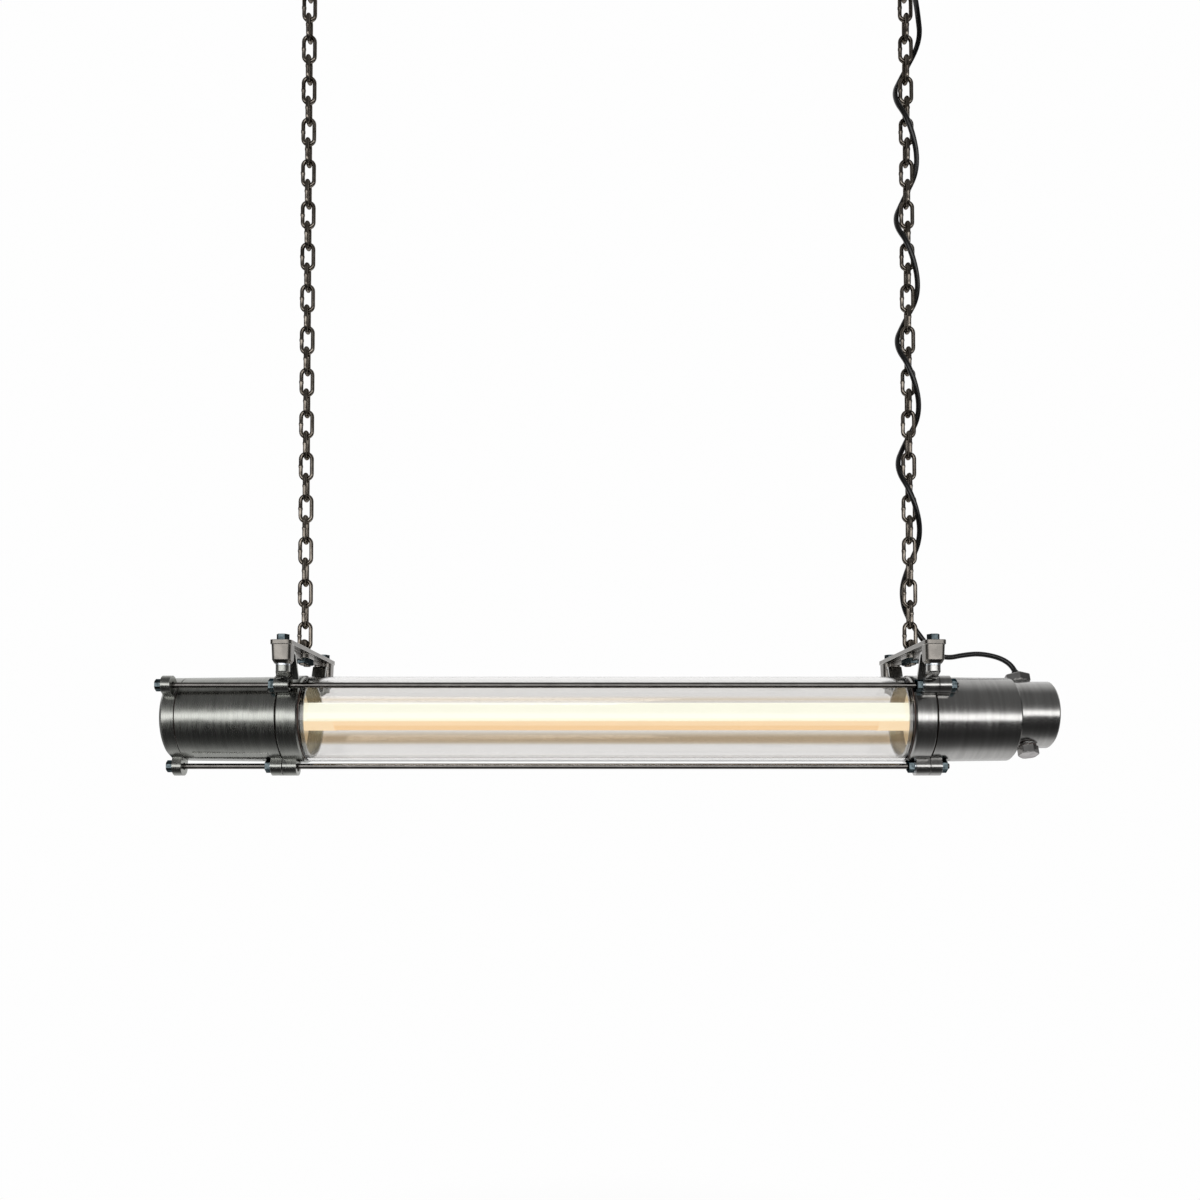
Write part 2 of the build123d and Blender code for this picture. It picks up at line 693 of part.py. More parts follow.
# Discs and lampholders that carry the light source
for name, joint, side in (("left", left_joint, -1), ("right", right_joint, 1)):
    back = joint - side * disc_setback
    front = back - side * disc_thickness
    disc = bar(front, back, bore_radius - running_gap)
    disc -= bar(front - side * over, back + side * over, disc_mouth_radius, 0, led_rise)
    for step in range(4):
        y, z = polar(45 + 90 * step, disc_hole_circle_radius)
        disc -= bar(front - side * over, back + side * over, disc_hole_radius, y, z)
    save(f"{name}_end_disc", disc)
    socket = bar(back, back + side * socket_depth, socket_radius, 0, led_rise)
    mouth_end = back + side * (rotor_thickness + pin_length)
    socket -= bar(back - side * over, mouth_end, rotor_radius + running_gap, 0, led_rise)
    save(f"{name}_lampholder", socket)

# Light source: a diffuser over an aluminium spine, whose caps have a saddle under
# the diffuser's ends, with pins that stand in the lampholders' rotors
led_place = lamp_place * Pos(0, 0, led_rise)
tube_left = led_left + led_cap_length
tube_right = led_right - led_cap_length
spine_left = tube_left + led_saddle_length
spine_right = tube_right - led_saddle_length
middle_x = (led_left + led_right) / 2
inner_radius = led_radius - 2 * led_wall
below = Pos(middle_x, 0, -led_split_drop - led_radius) * Box(led_length, 2 * led_radius, 2 * led_radius)
tube = pipe(tube_left, tube_right, led_radius, led_radius - led_wall)
save("led_diffuser", tube - below, led_place)
shelf = Box(spine_right - spine_left, 2 * inner_radius, led_wall)
shelf = Pos(middle_x, 0, -led_split_drop - led_wall / 2) * shelf
spine = bar(spine_left, spine_right, led_radius - led_wall / 4) & below
spine -= bar(led_left, led_right, inner_radius)
save("led_spine", spine + shelf, led_place)
caps = []
pins = []
rotors = []
for end, side in ((led_left, -1), (led_right, 1)):
    tube_end = end - side * led_cap_length
    saddle = bar(tube_end, tube_end - side * led_saddle_length, led_radius) & below
    caps.append(bar(end, tube_end, led_radius) + saddle)
    rotor_face = end + side * (led_end_gap + disc_thickness)
    rotor = bar(rotor_face, rotor_face + side * rotor_thickness, rotor_radius)
    for z in (-pin_half_spacing, pin_half_spacing):
        pins.append(bar(end, end + side * pin_length, pin_radius, 0, z))
        hole_end = rotor_face + side * (rotor_thickness + over)
        rotor -= bar(rotor_face - side * over, hole_end, pin_radius + nut_bore_gap, 0, z)
    rotors.append(rotor)
save("led_end_caps", group(caps), led_place)
save("led_pins", group(pins), led_place)
save("lampholder_rotors", group(rotors), led_place)

# Tie rods with their nuts and washers
rod_start = cover_lug_start - cap_nut_height / 2
rod_end = right_lug_face + washer_thickness + nut_height + rod_overrun
right_inner_face = right_joint - collar_lug_length
nut_bore_radius = rod_diameter / 2 + nut_bore_gap
rods = []
cap_nuts = []
nuts = []
rod_washers = []
for index, angle in enumerate(rod_angles):
    y, z = polar(angle, rod_circle_radius)
    rods.append(bar(rod_start, rod_end, rod_diameter / 2, y, z))
    blank = Pos(cover_lug_start, y, z) * Rot(0, -90, 0) * hexagon(nut_flats, cap_nut_height)
    blank &= bar(cover_lug_start, cover_lug_start - cap_nut_height, nut_flats / 2 + running_gap, y, z)
    cap_nuts.append(blank - bar(rod_start, cover_lug_end, nut_bore_radius, y, z))
    left_seat = left_joint if index == 0 else left_lug_face
    for seat, outward in ((left_seat, -1), (right_inner_face, -1), (right_lug_face, 1)):
        washer_end = seat + outward * washer_thickness
        rod_washers.append(pipe(seat, washer_end, washer_radius, nut_bore_radius, y, z))
        nut = Pos(washer_end, y, z) * Rot(0, outward * 90, 0) * hexagon(nut_flats, nut_height)
        bore = bar(seat, washer_end + outward * (nut_height + over), nut_bore_radius, y, z)
        nuts.append(nut - bore)
save("tie_rods", group(rods))
save("cap_nuts", group(cap_nuts))
save("rod_nuts", group(nuts))
save("rod_washers", group(rod_washers))

# Ceiling rose: base, cover and cord grip
rose_place = Pos(chain_x - rose_inset, -rose_setback, 0)
base = post(-rose_base_thickness, 0, rose_radius - rose_wall - running_gap)
for side in (-1, 1):
    base -= post(-rose_base_thickness - over, over, rose_hole_radius, side * rose_hole_spacing / 2)
save("rose_base", base, rose_place)
cup = post(-rose_height, 0, rose_radius)
cup = fillet(cup.edges().sort_by(Axis.Z)[0], rose_round)
cup -= post(-rose_height + rose_wall, over, rose_radius - rose_wall)
cup -= post(-rose_height - over, 0, grip_mouth_radius)
save("rose_cover", cup, rose_place)
grip = post(-rose_height - grip_height, -rose_height, grip_radius)
grip = chamfer(grip.edges().sort_by(Axis.Z)[0], edge_round)
grip += post(-rose_height, -rose_height + rose_wall, grip_mouth_radius - nut_bore_gap)
grip -= post(-rose_height - grip_height - over, over, cord_hole_radius)
save("rose_cord_grip", grip, rose_place)

# Cord: from the rose to the chain, wound round the chain, then on to the gland.
# Each point gives how far right of the chain and how far behind it the cord passes,
# and its height, from the ceiling for the top stretch and from the lamp's axis below.
top_route = [(-8, -70, -26), (-8, -70, -46), (-5, -52, -57), (-1, -33, -59), (3, -25, -62.5)]
wound_route = [(3, -25, 684.2), (7, -17, 680.7), (14, -3, 662.7), (0, 14.8, 639.5)]
wound_route += [(-13.4, 0, 610.7), (0, -12.4, 578.9), (13, 0, 540.4), (0, 13.4, 514.4)]
wound_route += [(-13.5, 0, 485.6), (0, -12.3, 455.8), (12.9, 0, 416), (0, 13.4, 392)]
wound_route += [(-13.3, 0, 365.4), (0, -13, 335.5), (13, 0, 298), (0, 13.5, 272)]
wound_route += [(-13.3, 0, 245), (0, -13.1, 214.3), (12.8, 0, 178), (0.9, 12.4, 147)]
wound_route += [(-6.6, 6.4, 125), (0.5, 14.2, 101), (13.7, 12, 82)]
tail_route = [(107.6, 13.4, 41.1), (107.6, 15.4, 46.7), (105.7, 17.4, 52.3), (101.7, 19.2, 57.3)]
tail_route += [(95.1, 20.7, 61.6), (85.5, 21.2, 64.6), (72, 19.6, 66.2), (56, 16.5, 64.2)]
tail_route += [(42, 13.9, 61.2), (31, 12.3, 63.2), (21, 10.78, 71.49), (13.7, 12, 82)]
save("cord_top", tube_along(top_route, "cord_top"), ceiling_place)
save("cord_wound", tube_along(wound_route, "cord_wound"))
save("cord_tail", tube_along(tail_route, "cord_tail"))
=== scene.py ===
# %% [markdown]
# A tubular pendant light hangs on two chains. This file dresses its exact CAD
# model for a picture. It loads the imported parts, gives each its finish, adds the
# small round forms that the CAD model leaves out, and sets the whole in a white
# studio.

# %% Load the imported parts
import json
import math

import bmesh
import bpy
from mathutils import Matrix, Vector


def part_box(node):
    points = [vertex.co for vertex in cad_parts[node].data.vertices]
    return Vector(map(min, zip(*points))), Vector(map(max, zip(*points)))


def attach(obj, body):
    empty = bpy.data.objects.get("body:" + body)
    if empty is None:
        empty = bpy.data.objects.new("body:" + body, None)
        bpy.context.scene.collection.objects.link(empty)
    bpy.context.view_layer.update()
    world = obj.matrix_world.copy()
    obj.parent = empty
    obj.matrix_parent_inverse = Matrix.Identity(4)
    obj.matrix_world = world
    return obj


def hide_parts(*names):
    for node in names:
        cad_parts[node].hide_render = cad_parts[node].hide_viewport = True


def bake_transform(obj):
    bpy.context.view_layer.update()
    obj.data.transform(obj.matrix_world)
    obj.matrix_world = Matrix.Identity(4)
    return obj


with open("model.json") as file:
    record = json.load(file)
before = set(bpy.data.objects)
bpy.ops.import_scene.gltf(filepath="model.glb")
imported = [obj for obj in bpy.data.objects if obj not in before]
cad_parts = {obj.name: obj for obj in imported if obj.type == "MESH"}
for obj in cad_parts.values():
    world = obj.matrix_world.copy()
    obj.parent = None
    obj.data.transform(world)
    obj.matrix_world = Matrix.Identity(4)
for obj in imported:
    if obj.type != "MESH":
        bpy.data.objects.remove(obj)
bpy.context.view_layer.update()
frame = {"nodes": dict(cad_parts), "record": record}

# %% [markdown]
# All sizes are in metres here, while a maker reads millimetres, so one value
# turns one into the other. The lamp's axis is found from the CAD boxes, and
# most later places are told from it.

# %% Shared sizes
MM = 0.001


def middle(node):
    """The centre of a part's box."""
    low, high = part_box(node)
    return (Vector(low) + Vector(high)) / 2


AXIS_Z = middle("glass_tube").z
CHAIN_X = middle("left_bracket").x * -1
print("lamp axis height", round(AXIS_Z, 4), "chain station", round(CHAIN_X, 4))

# %% [markdown]
# The camera stands a metre in front of the lamp and a little below it. It looks
# up by a degree and a half, and its frame is shifted up to take in the chains.

# %% Camera
CAMERA_PLACE = (-7.3 * MM, -1010 * MM, AXIS_Z - 73.3 * MM)
CAMERA_TILT = math.radians(91.5)
FRAME_SHIFT_UP = 0.14
camera = bpy.data.objects.new("camera", bpy.data.cameras.new("camera"))
bpy.context.collection.objects.link(camera)
camera.location = CAMERA_PLACE
camera.rotation_euler = (CAMERA_TILT, 0, 0)
camera.data.lens = 31.5
camera.data.sensor_width = 36
camera.data.shift_y = FRAME_SHIFT_UP
camera.data.clip_start = 10 * MM
bpy.context.scene.camera = camera
print("camera at", [round(c, 3) for c in camera.location])

# %% [markdown]
# The cord is a limp black flex of five millimetres. A smooth spline steered by
# listed points gives it the swing of real flex, where straight runs with
# rounded corners would look like bent wire. The helper makes the spline twice:
# once bare, as the line that the cord follows, and once as a round tube.

# %% Cord helper
CORD_DIAMETER = 5 * MM
STEPS_PER_POINT = 12
CORD_ROUNDNESS = 6


def flex_tube(name, points, place):
    """A round cord on a spline steered by the given points, and the line that it follows."""
    data = bpy.data.curves.new(name + "_line", "CURVE")
    data.dimensions = "3D"
    data.resolution_u = STEPS_PER_POINT
    spline = data.splines.new("NURBS")
    spline.points.add(len(points) - 1)
    for spot, point in zip(spline.points, points):
        spot.co = (*(Vector(point) * MM + Vector(place)), 1)
    spline.order_u = 3
    spline.use_endpoint_u = True
    guide = bpy.data.objects.new(name + "_line", data)
    line_mesh = bpy.data.meshes.new_from_object(guide)
    line = [tuple(v.co) for v in line_mesh.vertices]
    data.bevel_depth = CORD_DIAMETER / 2
    data.bevel_resolution = CORD_ROUNDNESS
    data.use_fill_caps = True
    mesh = bpy.data.meshes.new_from_object(guide)
    mesh.name = name
    for face in mesh.polygons:
        face.use_smooth = True
    cord = bpy.data.objects.new(name, mesh)
    bpy.context.collection.objects.link(cord)
    bpy.data.objects.remove(guide)
    bpy.data.meshes.remove(line_mesh)
    bpy.data.curves.remove(data)
    return cord, line


print("cord diameter", CORD_DIAMETER, "spline steps to a point", STEPS_PER_POINT)

# %% [markdown]
# The cord comes out of the ceiling rose, winds down round the right-hand chain, and
# crosses to the cable gland. Its points are millimetres, given as in the CAD model.
# The top stretch is told from the ceiling over the chain, and the other two from the
# lamp's axis under it.

# %% Cord routes
top_route = [(-8, -70, -26), (-8, -70, -46), (-5, -52, -57), (-1, -33, -59), (3, -25, -62.5)]
wound_route = [(3, -25, 684.2), (7, -17, 680.7), (14, -3, 662.7), (0, 14.8, 639.5)]
wound_route += [(-13.4, 0, 610.7), (0, -12.4, 578.9), (13, 0, 540.4), (0, 13.4, 514.4)]
wound_route += [(-13.5, 0, 485.6), (0, -12.3, 455.8), (12.9, 0, 416), (0, 13.4, 392)]
wound_route += [(-13.3, 0, 365.4), (0, -13, 335.5), (13, 0, 298), (0, 13.5, 272)]
wound_route += [(-13.3, 0, 245), (0, -13.1, 214.3), (12.8, 0, 178), (0.9, 12.4, 147)]
wound_route += [(-6.6, 6.4, 125), (0.5, 14.2, 101), (13.7, 12, 82)]
tail_route = [(107.6, 13.4, 41.1), (107.6, 15.4, 46.7), (105.7, 17.4, 52.3), (101.7, 19.2, 57.3)]
tail_route += [(95.1, 20.7, 61.6), (85.5, 21.2, 64.6), (72, 19.6, 66.2), (56, 16.5, 64.2)]
tail_route += [(42, 13.9, 61.2), (31, 12.3, 63.2), (21, 10.78, 71.49), (13.7, 12, 82)]
CEILING_AT_CHAIN = (CHAIN_X, 0, 0)
AXIS_AT_CHAIN = (CHAIN_X, 0, AXIS_Z)
flex_top, top_line = flex_tube("flex_top", top_route, CEILING_AT_CHAIN)
flex_wound, wound_line = flex_tube("flex_wound", wound_route, AXIS_AT_CHAIN)
flex_tail, tail_line = flex_tube("flex_tail", tail_route, AXIS_AT_CHAIN)
print("points on the cord's line", len(top_line) + len(wound_line) + len(tail_line))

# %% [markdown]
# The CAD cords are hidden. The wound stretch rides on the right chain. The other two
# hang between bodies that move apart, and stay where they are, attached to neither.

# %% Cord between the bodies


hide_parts("cord_top")
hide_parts("cord_wound")
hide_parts("cord_tail")
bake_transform(flex_top)
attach(flex_wound, "right_chain_body")
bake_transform(flex_tail)

# %% [markdown]
# Finishes are node trees, and a few small helpers write them. One turns the colours
# that people pick on a screen into the linear values that light needs. One adds a
# node with its settings and links, and the rest fill a ramp of colours and start
# and end a material.

# %% Helpers for finishes


def linear(code):
    """A screen colour such as 8a8f94, as linear red, green and blue, with full alpha."""
    channels = [int(code[i : i + 2], 16) / 255 for i in (0, 2, 4)]
    return [c / 12.92 if c <= 0.04045 else ((c + 0.055) / 1.055) ** 2.4 for c in channels] + [1]


def add(tree, kind, sockets=(), **settings):
    """Adds one node, sets it up, and links or sets the sockets that are named."""
    made = tree.nodes.new(kind)
    for name, value in settings.items():
        setattr(made, name, value)
    for socket, value in dict(sockets).items():
        if isinstance(value, bpy.types.NodeSocket):
            tree.links.new(value, made.inputs[socket])
        else:
            made.inputs[socket].default_value = value
    return made


def fill_ramp(ramp, stops):
    """Gives a colour ramp its stops, as positions with colours."""
    elements = ramp.color_ramp.elements
    while len(elements) < len(stops):
        elements.new(1.0)
    for element, (position, colour) in zip(elements, stops):
        element.position = position
        element.color = colour


def start_finish(name):
    """A new material with its tree emptied, and the object's own coordinates in it."""
    material = bpy.data.materials.new(name)
    material.use_nodes = True
    tree = material.node_tree
    tree.nodes.clear()
    places = add(tree, "ShaderNodeTexCoord").outputs["Object"]
    return material, tree, places


def end_finish(tree, shader):
    """Joins the last shader to the material's output."""
    add(tree, "ShaderNodeOutputMaterial", {"Surface": shader.outputs[0]})


print("the screen's middle grey 808080 as light", round(linear("808080")[0], 3))

# %% [markdown]
# No casting has a knife-sharp corner. Most corners of the solids are sharp, so the finish rounds
# them: the Bevel node gives the normal of a rounded corner, and where that normal leans away from
# the flat one, a lighter colour is painted in as a highlight along the corner.

# %% Rounded corners with painted highlights
CORNER_SAMPLES = 8


def painted_corner_highlights(tree, corner_mm, highlight_starts, highlight_full):
    """The normal of a rounded corner, and how much painted corner highlight each point gets, from 0
    to 1.
    """
    corner = add(tree, "ShaderNodeBevel", {"Radius": corner_mm * MM}, samples=CORNER_SAMPLES)
    flat = add(tree, "ShaderNodeNewGeometry").outputs["Normal"]
    normals = {0: corner.outputs[0], 1: flat}
    facing = add(tree, "ShaderNodeVectorMath", normals, operation="DOT_PRODUCT")
    lean_range = {"From Min": highlight_starts, "From Max": highlight_full}
    highlight_share = add(tree, "ShaderNodeMapRange", {"Value": facing.outputs["Value"], **lean_range})
    return corner.outputs[0], highlight_share.outputs["Result"]


print("samples that find a corner", CORNER_SAMPLES)

# %% [markdown]
# The housings, collars and box are cast aluminium, turned in a lathe and rubbed down
# with a fine abrasive, so they shine like dull silver and carry hair-fine rings round
# the lamp. A noise that is squeezed along the lamp draws those rings. Real rings are a
# tenth of a millimetre apart, too fine for the picture, so they are drawn about a
# millimetre apart. A second noise, in bands four millimetres wide, makes tint and
# shine uneven as strokes of the abrasive do. A slow swell under the rings bends the
# reflections a little, as hand polishing does, and every corner is painted brighter
# than the flats as a highlight. The left end has its own copy of this finish, darker
# and a little greener as painted shade, and rougher, so its reflections are cloudier.

# %% Rubbed aluminium castings
RING_SPACING = 0.9 * MM
RING_RUN = 30 * MM
RUB_WIDTH = 4 * MM
RUB_RUN = 70 * MM
RING_DEPTH = 0.02 * MM
# The lighter colour painted on the casting corners as a highlight.
TURNED_CORNER_HIGHLIGHT = "d8d6d2"


def rubbed_metal(name, dark, light, roughness, swell_mm, swell_depth_mm, corner_mm):
    """Bare metal with fine rings round the lamp, soft swells and corners painted bright as
    highlights.
    """
    material, tree, places = start_finish(name)
    ring_scale = (1 / RING_SPACING, 1 / RING_RUN, 1 / RING_RUN)
    rub_scale = (1 / RUB_WIDTH, 1 / RUB_RUN, 1 / RUB_RUN)
    squeezed = add(tree, "ShaderNodeMapping", {"Vector": places, "Scale": ring_scale})
    bands = add(tree, "ShaderNodeMapping", {"Vector": places, "Scale": rub_scale})
    rings = add(
        tree,
        "ShaderNodeTexNoise",
        {"Vector": squeezed.outputs[0], "Scale": 1.0, "Detail": 2, "Roughness": 0.5},
    )
    rubs = add(
        tree,
        "ShaderNodeTexNoise",
        {"Vector": bands.outputs[0], "Scale": 1.0, "Detail": 3, "Roughness": 0.6},
    )
    swell = add(
        tree,
        "ShaderNodeTexNoise",
        {"Vector": places, "Scale": 1 / (swell_mm * MM), "Detail": 1, "Roughness": 0.35},
    )
    corner, highlight_share = painted_corner_highlights(tree, corner_mm, highlight_starts=0.95, highlight_full=0.8)
    base = add(tree, "ShaderNodeValToRGB", {"Fac": rubs.outputs["Fac"]})
    fill_ramp(base, [(0.3, linear(dark)), (0.7, linear(light))])
    # The base colour is mixed towards the corner colour: a painted highlight along the corners.
    highlit_colour = add(
        tree,
        "ShaderNodeMix",
        {0: highlight_share, 6: base.outputs["Color"], 7: linear(TURNED_CORNER_HIGHLIGHT)},
        data_type="RGBA",
    )
    both = {0: rings.outputs["Fac"], 1: rubs.outputs["Fac"]}
    mottle = add(tree, "ShaderNodeMath", both, operation="ADD")
    gloss = add(
        tree,
        "ShaderNodeMapRange",
        {
            "Value": mottle.outputs[0],
            "From Min": 0.7,
            "From Max": 1.3,
            "To Min": roughness - 0.03,
            "To Max": roughness + 0.06,
        },
    )
    swelling = add(
        tree,
        "ShaderNodeBump",
        {
            "Height": swell.outputs["Fac"],
            "Normal": corner,
            "Strength": 1.0,
            "Distance": swell_depth_mm * MM,
        },
    )
    bump = add(
        tree,
        "ShaderNodeBump",
        {
            "Height": rings.outputs["Fac"],
            "Normal": swelling.outputs["Normal"],
            "Strength": 0.1,
            "Distance": RING_DEPTH,
        },
    )
    shader = add(
        tree,
        "ShaderNodeBsdfPrincipled",
        {
            "Base Color": highlit_colour.outputs[2],
            "Metallic": 1.0,
            "Roughness": gloss.outputs["Result"],
            "Normal": bump.outputs["Normal"],
        },
    )
    end_finish(tree, shader)
    return material


turned_aluminium = rubbed_metal(
    "rubbed_cast_aluminium",
    dark="9e9d9b",
    light="afaeac",
    roughness=0.2,
    swell_mm=26,
    swell_depth_mm=0.28,
    corner_mm=0.5,
)
# The left end's copy is darker and a little greener: painted shade on that end. Its higher roughness
# makes its reflections cloudier.
shaded_left_aluminium = rubbed_metal(
    "left_end_aluminium_with_painted_shade",
    dark="8f908c",
    light="a0a19c",
    roughness=0.26,
    swell_mm=16,
    swell_depth_mm=0.36,
    corner_mm=0.4,
)
print("finishes", turned_aluminium.name, shaded_left_aluminium.name)

# %% [markdown]
# The brackets are the same metal left nearly as the sand mould made it: darker,
# rougher and softly pebbled. Real grains of sand are a third of a millimetre, too
# fine for the picture, so grains of a millimetre and a half make the bump.

# %% Bare bracket castings
GRAIN_SIZE = 1.6 * MM
GRAIN_DEPTH = 0.08 * MM
CLOUD_SIZE = 9 * MM
# The lighter colour painted on the bracket corners as a highlight.
CAST_CORNER_HIGHLIGHT = "e2e0dc"


def sand_cast(name, dark, light, roughness, corner_mm):
    """Cast metal with the pebbled skin of its mould and corners painted bright as highlights."""
    material, tree, places = start_finish(name)
    cloud = add(
        tree,
        "ShaderNodeTexNoise",
        {"Vector": places, "Scale": 1 / CLOUD_SIZE, "Detail": 2, "Roughness": 0.5},
    )
    grain = add(
        tree,
        "ShaderNodeTexNoise",
        {"Vector": places, "Scale": 1 / GRAIN_SIZE, "Detail": 3, "Roughness": 0.55},
    )
    corner, highlight_share = painted_corner_highlights(tree, corner_mm, highlight_starts=0.99, highlight_full=0.86)
    base = add(tree, "ShaderNodeValToRGB", {"Fac": cloud.outputs["Fac"]})
    fill_ramp(base, [(0.32, linear(dark)), (0.68, linear(light))])
    # The base colour is mixed towards the corner colour: a painted highlight along the corners.
    highlit_colour = add(
        tree,
        "ShaderNodeMix",
        {0: highlight_share, 6: base.outputs["Color"], 7: linear(CAST_CORNER_HIGHLIGHT)},
        data_type="RGBA",
    )
    gloss_range = {"To Min": roughness - 0.06, "To Max": roughness + 0.08}
    gloss = add(tree, "ShaderNodeMapRange", {"Value": cloud.outputs["Fac"], **gloss_range})
    bump = add(
        tree,
        "ShaderNodeBump",
        {
            "Height": grain.outputs["Fac"],
            "Normal": corner,
            "Strength": 0.07,
            "Distance": GRAIN_DEPTH,
        },
    )
    shader = add(
        tree,
        "ShaderNodeBsdfPrincipled",
        {
            "Base Color": highlit_colour.outputs[2],
            "Metallic": 1.0,
            "Roughness": gloss.outputs["Result"],
            "Normal": bump.outputs["Normal"],
        },
    )
    end_finish(tree, shader)
    return material


bare_casting = sand_cast(
    "bare_sand_cast_aluminium", dark="64615d", light="7d7974", roughness=0.24, corner_mm=0.5
)
print("finish", bare_casting.name)

# %% [markdown]
# The fixings are zinc plated and have darkened to a bluish green, the chain is
# plain steel wire gone brown-grey, the tie rods are drawn steel with a clean bright
# skin, and the gland and plug are brass under nickel. They are all full metals that
# differ in tint and polish. The rods' edges are tinted dark, a painted shade along
# their sides. The marks of handling are hundredths of a millimetre wide, too fine for
# the picture, so they are drawn half a millimetre wide or more.

# %% Wire, rods and fixings
MARK_DEPTH = 0.03 * MM


def plated_metal(name, dark, light, edge_tint, roughness, patch_mm, mark_mm, corner_mm):
    """Plated or drawn metal: a cloudy tint, fine marks, softened corners."""
    material, tree, places = start_finish(name)
    cloud_size = {"Scale": 1 / (patch_mm * MM), "Detail": 4}
    cloud = add(tree, "ShaderNodeTexNoise", {"Vector": places, **cloud_size})
    mark_size = {"Scale": 1 / (mark_mm * MM), "Detail": 2}
    marks = add(tree, "ShaderNodeTexNoise", {"Vector": places, **mark_size})
    colour = add(tree, "ShaderNodeValToRGB", {"Fac": cloud.outputs["Fac"]})
    fill_ramp(colour, [(0.3, linear(dark)), (0.7, linear(light))])
    gloss_range = {"To Min": roughness - 0.04, "To Max": roughness + 0.06}
    gloss = add(tree, "ShaderNodeMapRange", {"Value": marks.outputs["Fac"], **gloss_range})
    corner = add(tree, "ShaderNodeBevel", {"Radius": corner_mm * MM}, samples=4)
    bump = add(
        tree,
        "ShaderNodeBump",
        {
            "Height": marks.outputs["Fac"],
            "Normal": corner.outputs[0],
            "Strength": 0.12,
            "Distance": MARK_DEPTH,
        },
    )
    shader = add(
        tree,
        "ShaderNodeBsdfPrincipled",
        {
            "Base Color": colour.outputs["Color"],
            "Metallic": 1.0,
            "Roughness": gloss.outputs["Result"],
            "Specular Tint": linear(edge_tint),
            "Normal": bump.outputs["Normal"],
        },
    )
    end_finish(tree, shader)
    return material


chain_steel = plated_metal(
    "brown_grey_steel_wire",
    dark="5a534c",
    light="8d867d",
    edge_tint="8a8a8a",
    roughness=0.24,
    patch_mm=7,
    mark_mm=0.8,
    corner_mm=0.2,
)
zinc_steel = plated_metal(
    "darkened_zinc_plate",
    dark="2a3133",
    light="586266",
    edge_tint="8c8c8c",
    roughness=0.2,
    patch_mm=3,
    mark_mm=0.6,
    corner_mm=0.5,
)
rod_steel = plated_metal(
    "drawn_bright_steel",
    dark="7a7774",
    light="8c8986",
    # The near-black edge tint paints the rods' sides dark as shade.
    edge_tint="0c0c0c",
    roughness=0.12,
    patch_mm=12,
    mark_mm=0.5,
    corner_mm=0.3,
)
washer_zinc = plated_metal(
    "bright_zinc_plate",
    dark="b4bac0",
    light="d6dade",
    edge_tint="d0d0d0",
    roughness=0.24,
    patch_mm=3,
    mark_mm=0.6,
    corner_mm=0.3,
)
nickel_brass = plated_metal(
    "nickel_plated_brass",
    dark="bebcba",
    light="dad8d6",
    edge_tint="9c9a9e",
    roughness=0.08,
    patch_mm=10,
    mark_mm=0.5,
    corner_mm=1.4,
)
pin_brass = plated_metal(
    "bright_brass",
    dark="b08d4a",
    light="d9bc78",
    edge_tint="d9bc78",
    roughness=0.22,
    patch_mm=6,
    mark_mm=0.6,
    corner_mm=0.2,
)
print("metals", chain_steel.name, zinc_steel.name, rod_steel.name, nickel_brass.name)

# %% [markdown]
# The seals and the cord's sheath are rubber, the rose is a black ABS moulding, and
# the discs in the collars and the lampholders are ivory polycarbonate. None of them
# is a metal, so each keeps the index of refraction of its plastic or rubber and a
# faint bump. The grain that a mould leaves is a tenth of a millimetre, so it is drawn
# coarser to show at all. Most ivory pieces stand round the ends of the light source,
# so all ivory pieces send out a share of their own colour as painted light, standing
# in for the light that falls on them from it. Most ivory pieces stand round the ends of the light
# source
# and glow with its light, so they send out a share of their own colour.

# %% Rubber and mouldings
TINT_PATCH = 14 * MM


def moulded_finish(name, dark, light, roughness, grain_mm, depth_mm, ior, glow=0.0):
    """Rubber or plastic: two near colours in soft patches, a fine grain, and any glow, which is
    painted light standing in for light that falls on it.
    """
    material, tree, places = start_finish(name)
    patch_size = {"Scale": 1 / TINT_PATCH, "Detail": 3}
    cloud = add(tree, "ShaderNodeTexNoise", {"Vector": places, **patch_size})
    grain_size = {"Scale": 1 / (grain_mm * MM), "Detail": 2}
    grain = add(tree, "ShaderNodeTexNoise", {"Vector": places, **grain_size})
    tints = {0: cloud.outputs["Fac"], 6: linear(dark), 7: linear(light)}
    colour = add(tree, "ShaderNodeMix", tints, data_type="RGBA")
    gloss_range = {"To Min": roughness - 0.05, "To Max": roughness + 0.05}
    gloss = add(tree, "ShaderNodeMapRange", {"Value": grain.outputs["Fac"], **gloss_range})
    relief = {"Height": grain.outputs["Fac"], "Strength": 0.2, "Distance": depth_mm * MM}
    bump = add(tree, "ShaderNodeBump", relief)
    shader = add(
        tree,
        "ShaderNodeBsdfPrincipled",
        {
            "Base Color": colour.outputs[2],
            "Roughness": gloss.outputs["Result"],
            "Normal": bump.outputs["Normal"],
            "IOR": ior,
            "Emission Color": colour.outputs[2],
            "Emission Strength": glow,
        },
    )
    end_finish(tree, shader)
    return material


flex_sheath = moulded_finish(
    "black_rubber_sheath",
    dark="050505",
    light="0c0c0c",
    roughness=0.28,
    grain_mm=0.9,
    depth_mm=0.04,
    ior=1.52,
)
brown_rubber = moulded_finish(
    "brown_seal_rubber",
    dark="2f1f1a",
    light="4a342c",
    roughness=0.6,
    grain_mm=0.8,
    depth_mm=0.05,
    ior=1.52,
)
black_moulding = moulded_finish(
    "black_abs_moulding",
    dark="101010",
    light="1c1c1c",
    roughness=0.4,
    grain_mm=0.6,
    depth_mm=0.03,
    ior=1.53,
)
